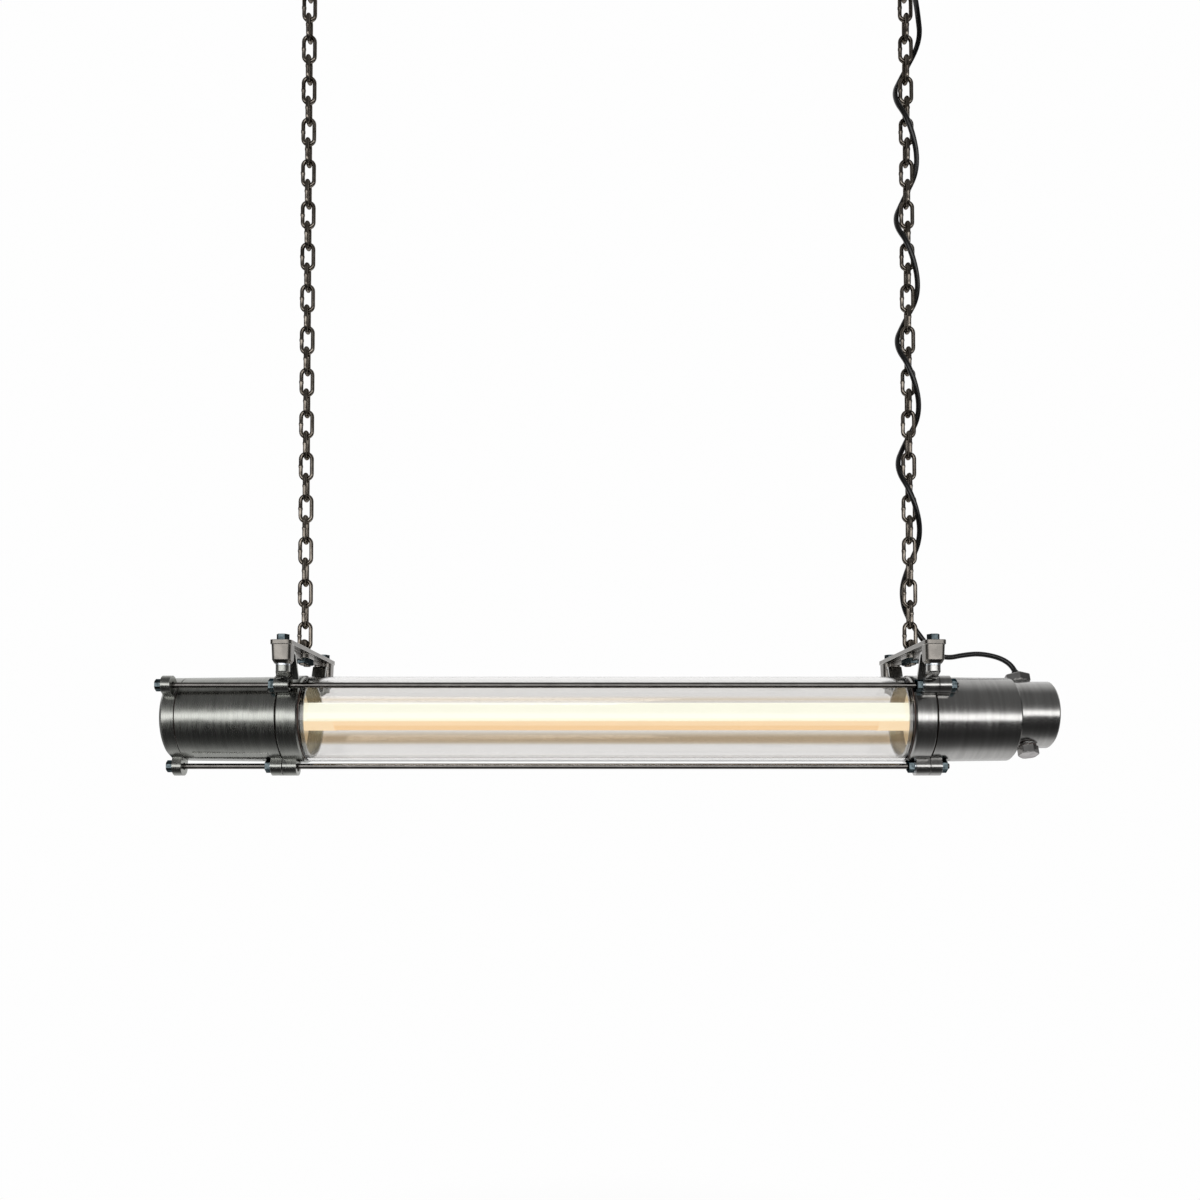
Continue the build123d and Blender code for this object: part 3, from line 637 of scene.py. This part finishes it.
# Its glow is painted light: it stands in for the light source's light on the ivory.
ivory_with_painted_glow = moulded_finish(
    "ivory_polycarbonate_with_painted_glow",
    dark="d4c6ac",
    light="ddd0b8",
    roughness=0.45,
    grain_mm=0.6,
    depth_mm=0.03,
    ior=1.58,
    glow=0.62,
)
print("mouldings", flex_sheath.name, brown_rubber.name, black_moulding.name, ivory_with_painted_glow.name)

# %% [markdown]
# The outer tube is clear borosilicate glass. Its index of refraction is 1.47. Drawn
# glass has faint lines along its length. They are under a millimetre wide, too fine
# to show, so they are drawn five millimetres wide. The glass is tinted brown in a
# belt just below the light source, and more faintly in one just above it. A ramp
# across the tube's height lays the belts down. Its positions are shares of that
# height, counted from below.

# %% Glass
TUBE_REACH = 40 * MM
LINE_LENGTH = 400 * MM
LINE_WIDTH = 5 * MM
LINE_DEPTH = 0.12 * MM
BELT_SHAKE = 0.03


def drawn_glass(name, clear, upper_belt_tint, lower_belt_tint):
    """Clear drawn glass: long faint lines, and brown tinted belts at two heights."""
    material, tree, places = start_finish(name)
    line_scale = (1 / LINE_LENGTH, 1 / LINE_WIDTH, 1 / LINE_WIDTH)
    drawn = add(tree, "ShaderNodeMapping", {"Vector": places, "Scale": line_scale})
    noise = {"Vector": drawn.outputs[0], "Scale": 1.0, "Detail": 2}
    lines = add(tree, "ShaderNodeTexNoise", noise)
    apart = add(tree, "ShaderNodeSeparateXYZ", {0: places})
    tube_range = {"From Min": AXIS_Z - TUBE_REACH, "From Max": AXIS_Z + TUBE_REACH}
    height = add(tree, "ShaderNodeMapRange", {"Value": apart.outputs["Z"], **tube_range})
    shake = {0: lines.outputs["Fac"], 1: BELT_SHAKE, 2: height.outputs["Result"]}
    shaky = add(tree, "ShaderNodeMath", shake, operation="MULTIPLY_ADD")
    belts = add(tree, "ShaderNodeValToRGB", {"Fac": shaky.outputs[0]})
    lower_belt = [(0.2, clear), (0.24, lower_belt_tint), (0.31, lower_belt_tint), (0.36, clear)]
    upper_belt = [(0.67, clear), (0.71, upper_belt_tint), (0.76, clear)]
    stops = [(0.0, clear)] + lower_belt + upper_belt + [(1.0, clear)]
    fill_ramp(belts, [(position, linear(colour)) for position, colour in stops])
    bump = add(
        tree,
        "ShaderNodeBump",
        {"Height": lines.outputs["Fac"], "Strength": 0.25, "Distance": LINE_DEPTH},
    )
    shader = add(
        tree,
        "ShaderNodeBsdfPrincipled",
        {
            "Base Color": belts.outputs["Color"],
            "Roughness": 0.0,
            "IOR": 1.47,
            "Transmission Weight": 1.0,
            "Normal": bump.outputs["Normal"],
        },
    )
    end_finish(tree, shader)
    return material


clear_glass = drawn_glass(
    "clear_borosilicate_glass", clear="f0efee", upper_belt_tint="e6dac8", lower_belt_tint="d2c6b4"
)
print("glass", clear_glass.name)

# %% [markdown]
# The light source glows. Its milky polycarbonate cover sends out an even warm
# white. Its spine is a gold-lacquered aluminium strip that the glow leaks into, and
# its two ivory caps are lit through. The surfaces are dark under their own light,
# so that the lamps of the set add nothing to it and no colour burns out.

# %% Light source
SPLIT_BLUR = 0.3 * MM
GLOW_STRENGTH = 1.15


def glowing_finish(name, below, above, split_height, patch_mm):
    """A lit satin surface that glows in one colour below a height and another above it."""
    material, tree, places = start_finish(name)
    patch_size = {"Scale": 1 / (patch_mm * MM), "Detail": 2}
    cloud = add(tree, "ShaderNodeTexNoise", {"Vector": places, **patch_size})
    apart = add(tree, "ShaderNodeSeparateXYZ", {0: places})
    split = {"From Min": split_height - SPLIT_BLUR, "From Max": split_height + SPLIT_BLUR}
    height = add(tree, "ShaderNodeMapRange", {"Value": apart.outputs["Z"], **split})
    tints = {0: height.outputs["Result"], 6: linear(below), 7: linear(above)}
    halves = add(tree, "ShaderNodeMix", tints, data_type="RGBA")
    unevenness = {"Value": cloud.outputs["Fac"], "To Min": 0.97, "To Max": 1.02}
    even = add(tree, "ShaderNodeMapRange", unevenness)
    dimmed = {0: halves.outputs[2], "Scale": even.outputs["Result"]}
    colour = add(tree, "ShaderNodeVectorMath", dimmed, operation="SCALE")
    shader = add(
        tree,
        "ShaderNodeBsdfPrincipled",
        {
            "Base Color": linear("2a2824"),
            "Roughness": 0.6,
            "IOR": 1.3,
            "Emission Color": colour.outputs["Vector"],
            "Emission Strength": GLOW_STRENGTH,
        },
    )
    end_finish(tree, shader)
    return material


SPLIT_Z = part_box("led_diffuser")[0][2]
lit_diffuser = glowing_finish(
    "lit_milky_polycarbonate",
    below="fdf6d8",
    above="fdfdea",
    split_height=SPLIT_Z + 2.5 * MM,
    patch_mm=40,
)
lit_spine = glowing_finish(
    "lit_gold_aluminium",
    below="f6cf9c",
    above="fcdcb0",
    split_height=SPLIT_Z - 4 * MM,
    patch_mm=30,
)
lit_cap = glowing_finish(
    "lit_ivory_polycarbonate",
    below="fce0b6",
    above="fdfae2",
    split_height=SPLIT_Z,
    patch_mm=20,
)
print("light source made, split at", round(SPLIT_Z, 4))

# %% [markdown]
# Each CAD part names a slot in the part's record, such as casting or clear glass,
# and each slot has its finish. A few parts look different from the rest of their
# slot in the photograph: the tie rods and the washers are bright, the caps of the
# light source glow, and the whole left end is darker and greener, as painted shade,
# and rougher. They are named by themselves.

# %% Give the CAD parts their finishes
finish_of = {
    "casting": turned_aluminium,
    "bracket_metal": bare_casting,
    "chain_steel": chain_steel,
    "zinc_steel": zinc_steel,
    "nickel_brass": nickel_brass,
    "seal_rubber": brown_rubber,
    "clear_glass": clear_glass,
    "diffuser": lit_diffuser,
    "amber_spine": lit_spine,
    "ivory_plastic": ivory_with_painted_glow,
    "pin_brass": pin_brass,
    "cord_rubber": flex_sheath,
    "rose_plastic": black_moulding,
}
own_finish = {
    "tie_rods": rod_steel,
    "bracket_washers": washer_zinc,
    "rod_washers": washer_zinc,
    "led_end_caps": lit_cap,
    "left_housing": shaded_left_aluminium,
    "left_end_cover": shaded_left_aluminium,
    "left_collar": shaded_left_aluminium,
}
for entry in frame["record"]["subparts"]:
    part = frame["nodes"][entry["node"]]
    part.data.materials.clear()
    slot_finish = finish_of[entry["material_slot"]]
    part.data.materials.append(own_finish.get(entry["node"], slot_finish))
for cord in (flex_top, flex_wound, flex_tail):
    cord.data.materials.append(flex_sheath)

# %% [markdown]
# Each chain link is wire bent into a long ring and welded shut. The CAD links have
# flat facets, so here the wire is swept smoothly round the same ring. It swells a
# little at the weld, halfway along one side.

# %% The line of one link
LINK_INNER_LENGTH = 21.05 * MM
LINK_INNER_WIDTH = 6.9 * MM
WIRE_RADIUS = 1.93 * MM
CROWN_STEPS = 12
WELD_SWELL = 0.16
WELD_STATIONS = ((1.6 * MM, 0), (0.7 * MM, 1), (-0.7 * MM, 1), (-1.6 * MM, 0))


def link_ring():
    """A link's centreline in the plane of X and Z: points, outward directions and wire radii."""
    bend = LINK_INNER_WIDTH / 2 + WIRE_RADIUS
    reach = LINK_INNER_LENGTH / 2 - LINK_INNER_WIDTH / 2
    ring = []
    for end in (0, 1):
        for step in range(CROWN_STEPS + 1):
            angle = math.pi * (step / CROWN_STEPS + end)
            outward = Vector((math.cos(angle), 0, math.sin(angle)))
            rise = Vector((0, 0, reach if end == 0 else -reach))
            ring.append((outward * bend + rise, outward, WIRE_RADIUS))
        if end == 0:
            for height, swell in WELD_STATIONS:
                radius = WIRE_RADIUS * (1 + WELD_SWELL * swell)
                ring.append((Vector((-bend, 0, height)), Vector((-1, 0, 0)), radius))
    return ring


print("stations round a link", len(link_ring()))

# %% [markdown]
# A wire is a row of round loops of points, with a skin of four-sided faces between
# each loop and the next. For a link the row closes on itself. The same skin serves
# the turned forms further down, so it is a helper by itself, as is the one that
# turns a finished mesh into an object.

# %% Sweep the wire
WIRE_SIDES = 12


def skin(mesh, loops):
    """Joins each loop of points to the next one with four-sided faces."""
    for lower, upper in zip(loops, loops[1:]):
        for side in range(len(lower)):
            other = (side + 1) % len(lower)
            mesh.faces.new((lower[side], lower[other], upper[other], upper[side]))


def add_link(mesh, place, turned):
    """Sweeps the wire round one link and adds it to a mesh."""
    turn = Matrix.Rotation(math.pi / 2, 3, "Z") if turned else Matrix.Identity(3)
    loops = []
    for point, outward, radius in link_ring():
        loop = []
        for side in range(WIRE_SIDES):
            angle = 2 * math.pi * side / WIRE_SIDES
            offset = outward * math.cos(angle) + Vector((0, 1, 0)) * math.sin(angle)
            loop.append(mesh.verts.new(turn @ (point + offset * radius) + place))
        loops.append(loop)
    skin(mesh, loops + loops[:1])


def finished_object(name, mesh, finish, smooth=True):
    """Turns a bmesh into an object with one finish, shaded smooth or in flats."""
    bmesh.ops.recalc_face_normals(mesh, faces=mesh.faces)
    data = bpy.data.meshes.new(name)
    mesh.to_mesh(data)
    mesh.free()
    for face in data.polygons:
        face.use_smooth = smooth
    data.materials.append(finish)
    made = bpy.data.objects.new(name, data)
    bpy.context.collection.objects.link(made)
    return made


print("faces on one link", WIRE_SIDES * len(link_ring()))

# %% [markdown]
# The hanger links take their height from their CAD box. The other links hang below
# them, one pitch apart and every second one turned by a quarter, so that each hangs
# in the last with a little play.

# %% Chains
LINK_PITCH = 20.6 * MM
LINKS_IN_CHAIN = 31
hanger_z = middle("hanger_links").z
for name, side in (("left", -1), ("right", 1)):
    mesh = bmesh.new()
    for step in range(LINKS_IN_CHAIN):
        drop = LINK_PITCH * (step + 1)
        add_link(mesh, Vector((side * CHAIN_X, 0, hanger_z - drop)), step % 2 == 1)
    chain = finished_object(f"{name}_wire_chain", mesh, chain_steel)
    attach(chain, f"{name}_chain_body")
    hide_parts(f"{name}_chain")
    print(chain.name, "faces", len(chain.data.polygons))
mesh = bmesh.new()
for side in (-1, 1):
    add_link(mesh, Vector((side * CHAIN_X, 0, hanger_z)), True)
hanger_wire = finished_object("hanger_wire_links", mesh, chain_steel)
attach(hanger_wire, "hangers")
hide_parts("hanger_links")
print(hanger_wire.name, "faces", len(hanger_wire.data.polygons))

# %% [markdown]
# Threads, screw heads and weld beads are small turned forms. One helper spins an
# outline of distances along an axis and radii round it, closes its two ends, and
# stands the result up in the direction that is asked for.

# %% Turned forms
FEWEST_SIDES = 20


def spin(mesh, outline, place, direction, sides=FEWEST_SIDES):
    """Adds a turned form to a mesh: an outline of distances and radii spun round a line."""
    turn = Vector((0, 0, 1)).rotation_difference(Vector(direction)).to_matrix()
    loops = []
    for along, radius in outline:
        loop = []
        for side in range(sides):
            angle = 2 * math.pi * side / sides
            offset = Vector((radius * math.cos(angle), radius * math.sin(angle), along))
            loop.append(mesh.verts.new(Vector(place) + turn @ offset))
        loops.append(loop)
    skin(mesh, loops)
    mesh.faces.new(list(reversed(loops[0])))
    mesh.faces.new(loops[-1])


print("turned forms have at least", FEWEST_SIDES, "sides")

# %% [markdown]
# The tie rods end in rolled threads that show past the nuts on the right. Each
# stands on its rod's axis, on the circle of the three rods. An outline that steps
# between the thread's root and its crest looks like a thread at this size, and its
# last step is cut down as a chamfer is.

# %% Rod threads
ROD_CIRCLE = 46 * MM
ROD_ANGLES = (140.6, 20.6, -99.4)
ROD_RADIUS = 2.65 * MM
THREAD_LENGTH = 2.4 * MM
THREAD_HEIGHT = 0.3 * MM
THREAD_PITCH = 0.8 * MM
CHAMFER_SHARE = 0.8
ROD_END_LEFT_BARE = 0.1 * MM


def thread_outline(length, core, crest, pitch):
    """The stepped outline of a screw thread, from its root to a chamfered end."""
    outline = [(0, core)]
    turns = int(length / pitch)
    for step in range(turns):
        outline += [((step + 0.5) * pitch, crest), ((step + 1) * pitch, core)]
    return outline + [(length, core * CHAMFER_SHARE)]


thread = thread_outline(THREAD_LENGTH, ROD_RADIUS, ROD_RADIUS + THREAD_HEIGHT, THREAD_PITCH)
thread_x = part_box("tie_rods")[1][0] - THREAD_LENGTH - ROD_END_LEFT_BARE
mesh = bmesh.new()
for angle in ROD_ANGLES:
    y = ROD_CIRCLE * math.cos(math.radians(angle))
    z = ROD_CIRCLE * math.sin(math.radians(angle))
    spin(mesh, thread, (thread_x, y, AXIS_Z + z), (1, 0, 0))
threads = finished_object("rod_end_threads", mesh, zinc_steel, smooth=False)
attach(threads, "lamp")
print("rod threads", len(threads.data.polygons), "faces")

# %% [markdown]
# Two socket screws hold the lid of the terminal box. The CAD lid has their holes, so
# each screw's round head is spun to sink into one, with a round socket in its face.

# %% Lid screws
LID_SCREW_REACH = 13.5 * MM
LID_SCREW_SINK = 1.45 * MM
HEAD_RADIUS = 1.85 * MM
HEAD_HEIGHT = 1.35 * MM
HEAD_OUTLINE = [
    (0, HEAD_RADIUS),
    (HEAD_HEIGHT * 0.7, HEAD_RADIUS),
    (HEAD_HEIGHT, HEAD_RADIUS * 0.82),
    (HEAD_HEIGHT, HEAD_RADIUS * 0.5),
    (HEAD_HEIGHT * 0.3, HEAD_RADIUS * 0.45),
]
head_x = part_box("terminal_cover")[1][0] - LID_SCREW_SINK
lid_z = middle("terminal_cover").z
mesh = bmesh.new()
for side in (-1, 1):
    spin(mesh, HEAD_OUTLINE, (head_x, side * LID_SCREW_REACH, lid_z), (1, 0, 0), sides=24)
lid_screws = finished_object("lid_screws", mesh, zinc_steel, smooth=False)
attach(lid_screws, "lamp")
print("lid screws", len(lid_screws.data.polygons), "faces")

# %% [markdown]
# Each hook's wire is welded to its round plate. A weld is a ring of slumped ripples,
# so a bead is spun round the wire with more sides than it needs, and then a sine
# lifts and lowers its points in turn.

# %% Hook welds
HOOK_HALF_WIDTH = 10 * MM
PLATE_UNDERSIDE = -4 * MM
BEAD_MM = [(0, 5.1), (-0.5, 4.9), (-1.2, 4.1), (-1.8, 3.3), (-2.1, 2.8)]
RIPPLE_DEPTH = 0.18 * MM
RIPPLE_STARTS = 0.3 * MM
POINTS_PER_RIPPLE = 6
bead = [(along * MM, radius * MM) for along, radius in BEAD_MM]
for name, side in (("left", -1), ("right", 1)):
    mesh = bmesh.new()
    for leg in (-1, 1):
        leg_x = side * CHAIN_X + leg * HOOK_HALF_WIDTH
        spin(mesh, bead, (leg_x, 0, PLATE_UNDERSIDE), (0, 0, 1), sides=36)
    for index, vertex in enumerate(mesh.verts):
        if vertex.co.z < PLATE_UNDERSIDE - RIPPLE_STARTS:
            vertex.co.z += RIPPLE_DEPTH * math.sin(index * 2 * math.pi / POINTS_PER_RIPPLE)
    weld = finished_object(f"{name}_hook_weld", mesh, chain_steel)
    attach(weld, "ceiling")
    print(weld.name, "faces", len(weld.data.polygons))

# %% [markdown]
# Where the cord leaves the gland, a short rubber sleeve tapers on to it, so that the
# flex bends over a soft cone instead of a sharp rim. Its loops follow the cord's own
# line, read from the spline, and a sine on their radius gives it three soft ribs.

# %% Cord sleeve
SLEEVE_LENGTH = 9 * MM
SLEEVE_SIDES = 20
SLEEVE_RADIUS_MM = 4.9
SLEEVE_TAPER_MM = 2.2
RIB_HEIGHT_MM = 0.25
RIBS = 3
mesh = bmesh.new()
walked = 0.0
loops = []
for index in range(1, len(tail_line) - 1):
    here, after = Vector(tail_line[index]), Vector(tail_line[index + 1])
    walked += (here - Vector(tail_line[index - 1])).length
    if walked > SLEEVE_LENGTH:
        break
    along = (after - here).normalized()
    across = along.cross(Vector((1, 0, 0))).normalized()
    upright = along.cross(across)
    share = walked / SLEEVE_LENGTH
    rib = RIB_HEIGHT_MM * math.sin(share * 2 * RIBS * math.pi)
    radius = (SLEEVE_RADIUS_MM - SLEEVE_TAPER_MM * share + rib) * MM
    loop = []
    for side in range(SLEEVE_SIDES):
        angle = 2 * math.pi * side / SLEEVE_SIDES
        offset = across * math.cos(angle) + upright * math.sin(angle)
        loop.append(mesh.verts.new(here + radius * offset))
    loops.append(loop)
skin(mesh, loops)
mesh.faces.new(loops[0])
mesh.faces.new(loops[-1])
sleeve = finished_object("cord_sleeve", mesh, flex_sheath)
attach(sleeve, "lamp")
print("sleeve rings", len(loops))

# %% [markdown]
# The set is a white paper floor and a white wall. The camera and the glass see both
# as white. Polished metal shows more of a set than a camera does, so what it mirrors
# is laid out with care: white behind the lamp, a dim room in front, and one long
# bright window level with the lamp, which draws the bright line along the housings.
# A ramp over the height of each mirrored ray, in degrees, holds these levels: 0 is
# straight in front, 90 overhead, -90 below, and 180 behind.

# %% Levels of the mirrored room
MIRROR_PEAK = 3.0
room_levels = [(-180, 1.0), (-132, 0.97), (-116, 0.9), (-102, 0.78), (-92, 0.48), (-80, 0.19)]
room_levels += [(-70, 0.11), (-60, 0.07), (-50, 0.05), (-38, 0.05), (-26, 0.08), (-15, 0.14)]
room_levels += [(-10, 0.5), (-5.5, 2.8), (9, 3.0), (14, 1.0), (20, 0.35), (28, 0.22)]
room_levels += [(40, 0.18), (76, 0.18), (86, 0.26), (100, 0.5), (115, 0.8), (140, 0.95)]
room_levels += [(180, 1.0)]


def grey(level):
    """A grey of the given level, as a share of the mirrored room's brightest."""
    return (level / MIRROR_PEAK,) * 3 + (1,)


print("mirrored levels", len(room_levels))

# %% [markdown]
# The world and the sheets of the set share two rules. Far to the left and right what
# is mirrored falls dark, which gives upright round metal its dark sides. And the rays
# of the camera, and those that went through glass, see plain white.

# %% Shared rules of the set
DARK_SIDE_SHARE = 0.2
SHEER_WHITE = (0.99, 0.99, 0.99, 1)


def mirror_strength(tree, across, near, far):
    """How bright the mirrored set is: full up to near from the middle, and dark beyond far."""
    sideways = add(tree, "ShaderNodeMath", {0: across}, operation="ABSOLUTE")
    reach = {"From Min": near, "From Max": far}
    fall = {"To Min": MIRROR_PEAK, "To Max": DARK_SIDE_SHARE * MIRROR_PEAK}
    strength = add(tree, "ShaderNodeMapRange", {"Value": sideways.outputs[0], **reach, **fall})
    return strength.outputs["Result"]


def plainly_seen(tree, ray):
    """A value of 1 for rays of the camera and rays that went through glass, or else 0."""
    kinds = {0: ray.outputs["Is Camera Ray"], 1: ray.outputs["Is Transmission Ray"]}
    return add(tree, "ShaderNodeMath", kinds, operation="MAXIMUM").outputs[0]


print("mirrored strength", MIRROR_PEAK, "dark sides", round(DARK_SIDE_SHARE * MIRROR_PEAK, 2))

# %% [markdown]
# The world holds the mirrored room. A ray's height is the angle between how far it
# points up and how far it points to the front. The whole room leans a little to the
# right, so that the bright line on the housings runs as in the photograph. The dark
# sides begin where a ray points more sideways than about 40 degrees.

# %% Mirrored room
WINDOW_LEAN = math.radians(6.4)
ROOM_NEAR, ROOM_FAR = 0.66, 0.92
world = bpy.data.worlds.new("studio")
bpy.context.scene.world = world
world.use_nodes = True
sky = world.node_tree
sky.nodes.clear()
ray = add(sky, "ShaderNodeLightPath")
heading = add(sky, "ShaderNodeTexCoord")
split = add(sky, "ShaderNodeSeparateXYZ", {0: heading.outputs["Generated"]})
ahead = add(sky, "ShaderNodeMath", {0: split.outputs["Y"], 1: -1.0}, operation="MULTIPLY")
up_and_ahead = {0: split.outputs["Z"], 1: ahead.outputs[0]}
rise = add(sky, "ShaderNodeMath", up_and_ahead, operation="ARCTAN2")
leaning = {0: split.outputs["X"], 1: WINDOW_LEAN, 2: rise.outputs[0]}
lean = add(sky, "ShaderNodeMath", leaning, operation="MULTIPLY_ADD")
full_turn = {"From Min": -math.pi, "From Max": math.pi}
turn_share = add(sky, "ShaderNodeMapRange", {"Value": lean.outputs[0], **full_turn})
levels = add(sky, "ShaderNodeValToRGB", {"Fac": turn_share.outputs["Result"]})
fill_ramp(levels, [((degrees + 180) / 360, grey(level)) for degrees, level in room_levels])
strength = mirror_strength(sky, split.outputs["X"], ROOM_NEAR, ROOM_FAR)
mirrored = add(
    sky, "ShaderNodeBackground", {"Color": levels.outputs["Color"], "Strength": strength}
)
room = add(sky, "ShaderNodeBackground", {"Color": linear("e6e6e6"), "Strength": 0.6})
white = add(sky, "ShaderNodeBackground", {"Color": SHEER_WHITE, "Strength": 1.0})
in_metal = {0: ray.outputs["Is Glossy Ray"], 1: room.outputs[0], 2: mirrored.outputs[0]}
glossy = add(sky, "ShaderNodeMixShader", in_metal)
in_view = {0: plainly_seen(sky, ray), 1: glossy.outputs[0], 2: white.outputs[0]}
mixed = add(sky, "ShaderNodeMixShader", in_view)
add(sky, "ShaderNodeOutputWorld", {"Surface": mixed.outputs[0]})
print("world", world.name, "nodes", len(sky.nodes))

# %% [markdown]
# The floor and wall are flat sheets. In the mirror rays the floor follows the same
# levels as the room, told by how far in front of the lamp a point lies. Close under
# the lamp the camera sees a share of the real paper, which keeps the lamp's shadow.
# From behind the sheets are see-through, so the pendant also shows from far below.

# %% Paper
FLOOR_DROP = 0.75
FLOOR_Z = AXIS_Z - FLOOR_DROP
SHADOW_SHARE = 0.15
SHADOW_NEAR, SHADOW_FAR = 0.2, 0.9
MIRROR_FRONT, MIRROR_BACK = -1.7, 0.5
FLOOR_NEAR, FLOOR_FAR = 1.2, 2.6
DEGREES_BEHIND, DEGREES_IN_FRONT = -116, -26


def floor_levels(tree, places):
    """What metal mirrors of the floor: the room's levels from below, laid out by depth."""
    split = add(tree, "ShaderNodeSeparateXYZ", {0: places})
    depth_range = {"From Min": MIRROR_FRONT, "From Max": MIRROR_BACK}
    depth = add(tree, "ShaderNodeMapRange", {"Value": split.outputs["Y"], **depth_range})
    levels = add(tree, "ShaderNodeValToRGB", {"Fac": depth.outputs["Result"]})
    stops = []
    for degrees, level in room_levels:
        if DEGREES_BEHIND <= degrees <= DEGREES_IN_FRONT:
            spot = FLOOR_DROP / math.tan(math.radians(degrees))
            stops.append(((spot - MIRROR_FRONT) / (MIRROR_BACK - MIRROR_FRONT), grey(level)))
    fill_ramp(levels, sorted(stops))
    strength = mirror_strength(tree, split.outputs["X"], FLOOR_NEAR, FLOOR_FAR)
    glow = {"Color": levels.outputs["Color"], "Strength": strength}
    return add(tree, "ShaderNodeEmission", glow)


def paper_finish(name, front_falls_dark):
    """White paper to the camera and glass, and the room's levels or plain white in metal."""
    material, tree, places = start_finish(name)
    ray = add(tree, "ShaderNodeLightPath")
    paper = add(tree, "ShaderNodeBsdfDiffuse", {"Color": linear("f2f2f2")})
    white = add(tree, "ShaderNodeEmission", {"Color": SHEER_WHITE, "Strength": 1.0})
    under_lamp = {0: places, 1: (0, 0, FLOOR_Z)}
    far = add(tree, "ShaderNodeVectorMath", under_lamp, operation="DISTANCE")
    fading = {"From Min": SHADOW_NEAR, "From Max": SHADOW_FAR, "To Min": SHADOW_SHARE, "To Max": 0.0}
    shade = add(tree, "ShaderNodeMapRange", {"Value": far.outputs["Value"], **fading})
    shaded = {0: shade.outputs["Result"], 1: white.outputs[0], 2: paper.outputs[0]}
    camera_view = add(tree, "ShaderNodeMixShader", shaded)
    mirrored = floor_levels(tree, places) if front_falls_dark else white
    other_rays = {0: ray.outputs["Is Glossy Ray"], 1: paper.outputs[0], 2: mirrored.outputs[0]}
    in_metal = add(tree, "ShaderNodeMixShader", other_rays)
    all_rays = {0: plainly_seen(tree, ray), 1: in_metal.outputs[0], 2: camera_view.outputs[0]}
    front = add(tree, "ShaderNodeMixShader", all_rays)
    behind = add(tree, "ShaderNodeNewGeometry").outputs["Backfacing"]
    nothing = add(tree, "ShaderNodeBsdfTransparent")
    both_sides = {0: behind, 1: front.outputs[0], 2: nothing.outputs[0]}
    end_finish(tree, add(tree, "ShaderNodeMixShader", both_sides))
    return material


floor_paper = paper_finish("floor_paper", front_falls_dark=True)
wall_paper = paper_finish("wall_paper", front_falls_dark=False)
print("papers", floor_paper.name, wall_paper.name)

# %% [markdown]
# The floor runs from well in front of the camera's place to far behind the lamp,
# where the wall stands on it, wider and high enough to fill the view.

# %% Floor and wall
FLOOR_HALF_WIDTH = 8
FLOOR_FRONT = -6
WALL_Y = 8
WALL_HALF_WIDTH = 12
WALL_TOP = 9


def paper_sheet(name, corners, finish):
    """One flat four-cornered sheet of the set."""
    data = bpy.data.meshes.new(name)
    data.from_pydata(corners, [], [(0, 1, 2, 3)])
    sheet = bpy.data.objects.new(name, data)
    bpy.context.collection.objects.link(sheet)
    data.materials.append(finish)


floor_corners = [
    (-FLOOR_HALF_WIDTH, FLOOR_FRONT, FLOOR_Z),
    (FLOOR_HALF_WIDTH, FLOOR_FRONT, FLOOR_Z),
    (FLOOR_HALF_WIDTH, WALL_Y, FLOOR_Z),
    (-FLOOR_HALF_WIDTH, WALL_Y, FLOOR_Z),
]
wall_corners = [
    (-WALL_HALF_WIDTH, WALL_Y, FLOOR_Z),
    (WALL_HALF_WIDTH, WALL_Y, FLOOR_Z),
    (WALL_HALF_WIDTH, WALL_Y, WALL_TOP),
    (-WALL_HALF_WIDTH, WALL_Y, WALL_TOP),
]
paper_sheet("floor", floor_corners, floor_paper)
paper_sheet("wall", wall_corners, wall_paper)
print("floor level", round(FLOOR_Z, 3))

# %% [markdown]
# Two soft lamps light what isn't metal. Mirror rays don't see them, because the
# mirrored room already holds the window.

# %% Lamps
AIM_OVER_AXIS = 0.1


def soft_lamp(name, place, size, power):
    """A rectangular soft lamp that looks at the pendant and isn't mirrored in it."""
    data = bpy.data.lights.new(name, "AREA")
    data.shape = "RECTANGLE"
    data.size, data.size_y = size
    data.energy = power
    lamp = bpy.data.objects.new(name, data)
    bpy.context.collection.objects.link(lamp)
    lamp.location = place
    aim = Vector((0, 0, AXIS_Z + AIM_OVER_AXIS)) - Vector(place)
    lamp.rotation_euler = aim.to_track_quat("-Z", "Y").to_euler()
    lamp.visible_glossy = False


soft_lamp("window_above", place=(-0.6, -1.6, 1.2), size=(1.6, 1.0), power=22)
soft_lamp("fill_right", place=(2.2, -0.8, AXIS_Z + 0.3), size=(0.8, 1.2), power=8)
print("lamps set")

# %% [markdown]
# The Standard view keeps colours about as they are written.

# %% Finish
bpy.context.scene.view_settings.view_transform = "Standard"
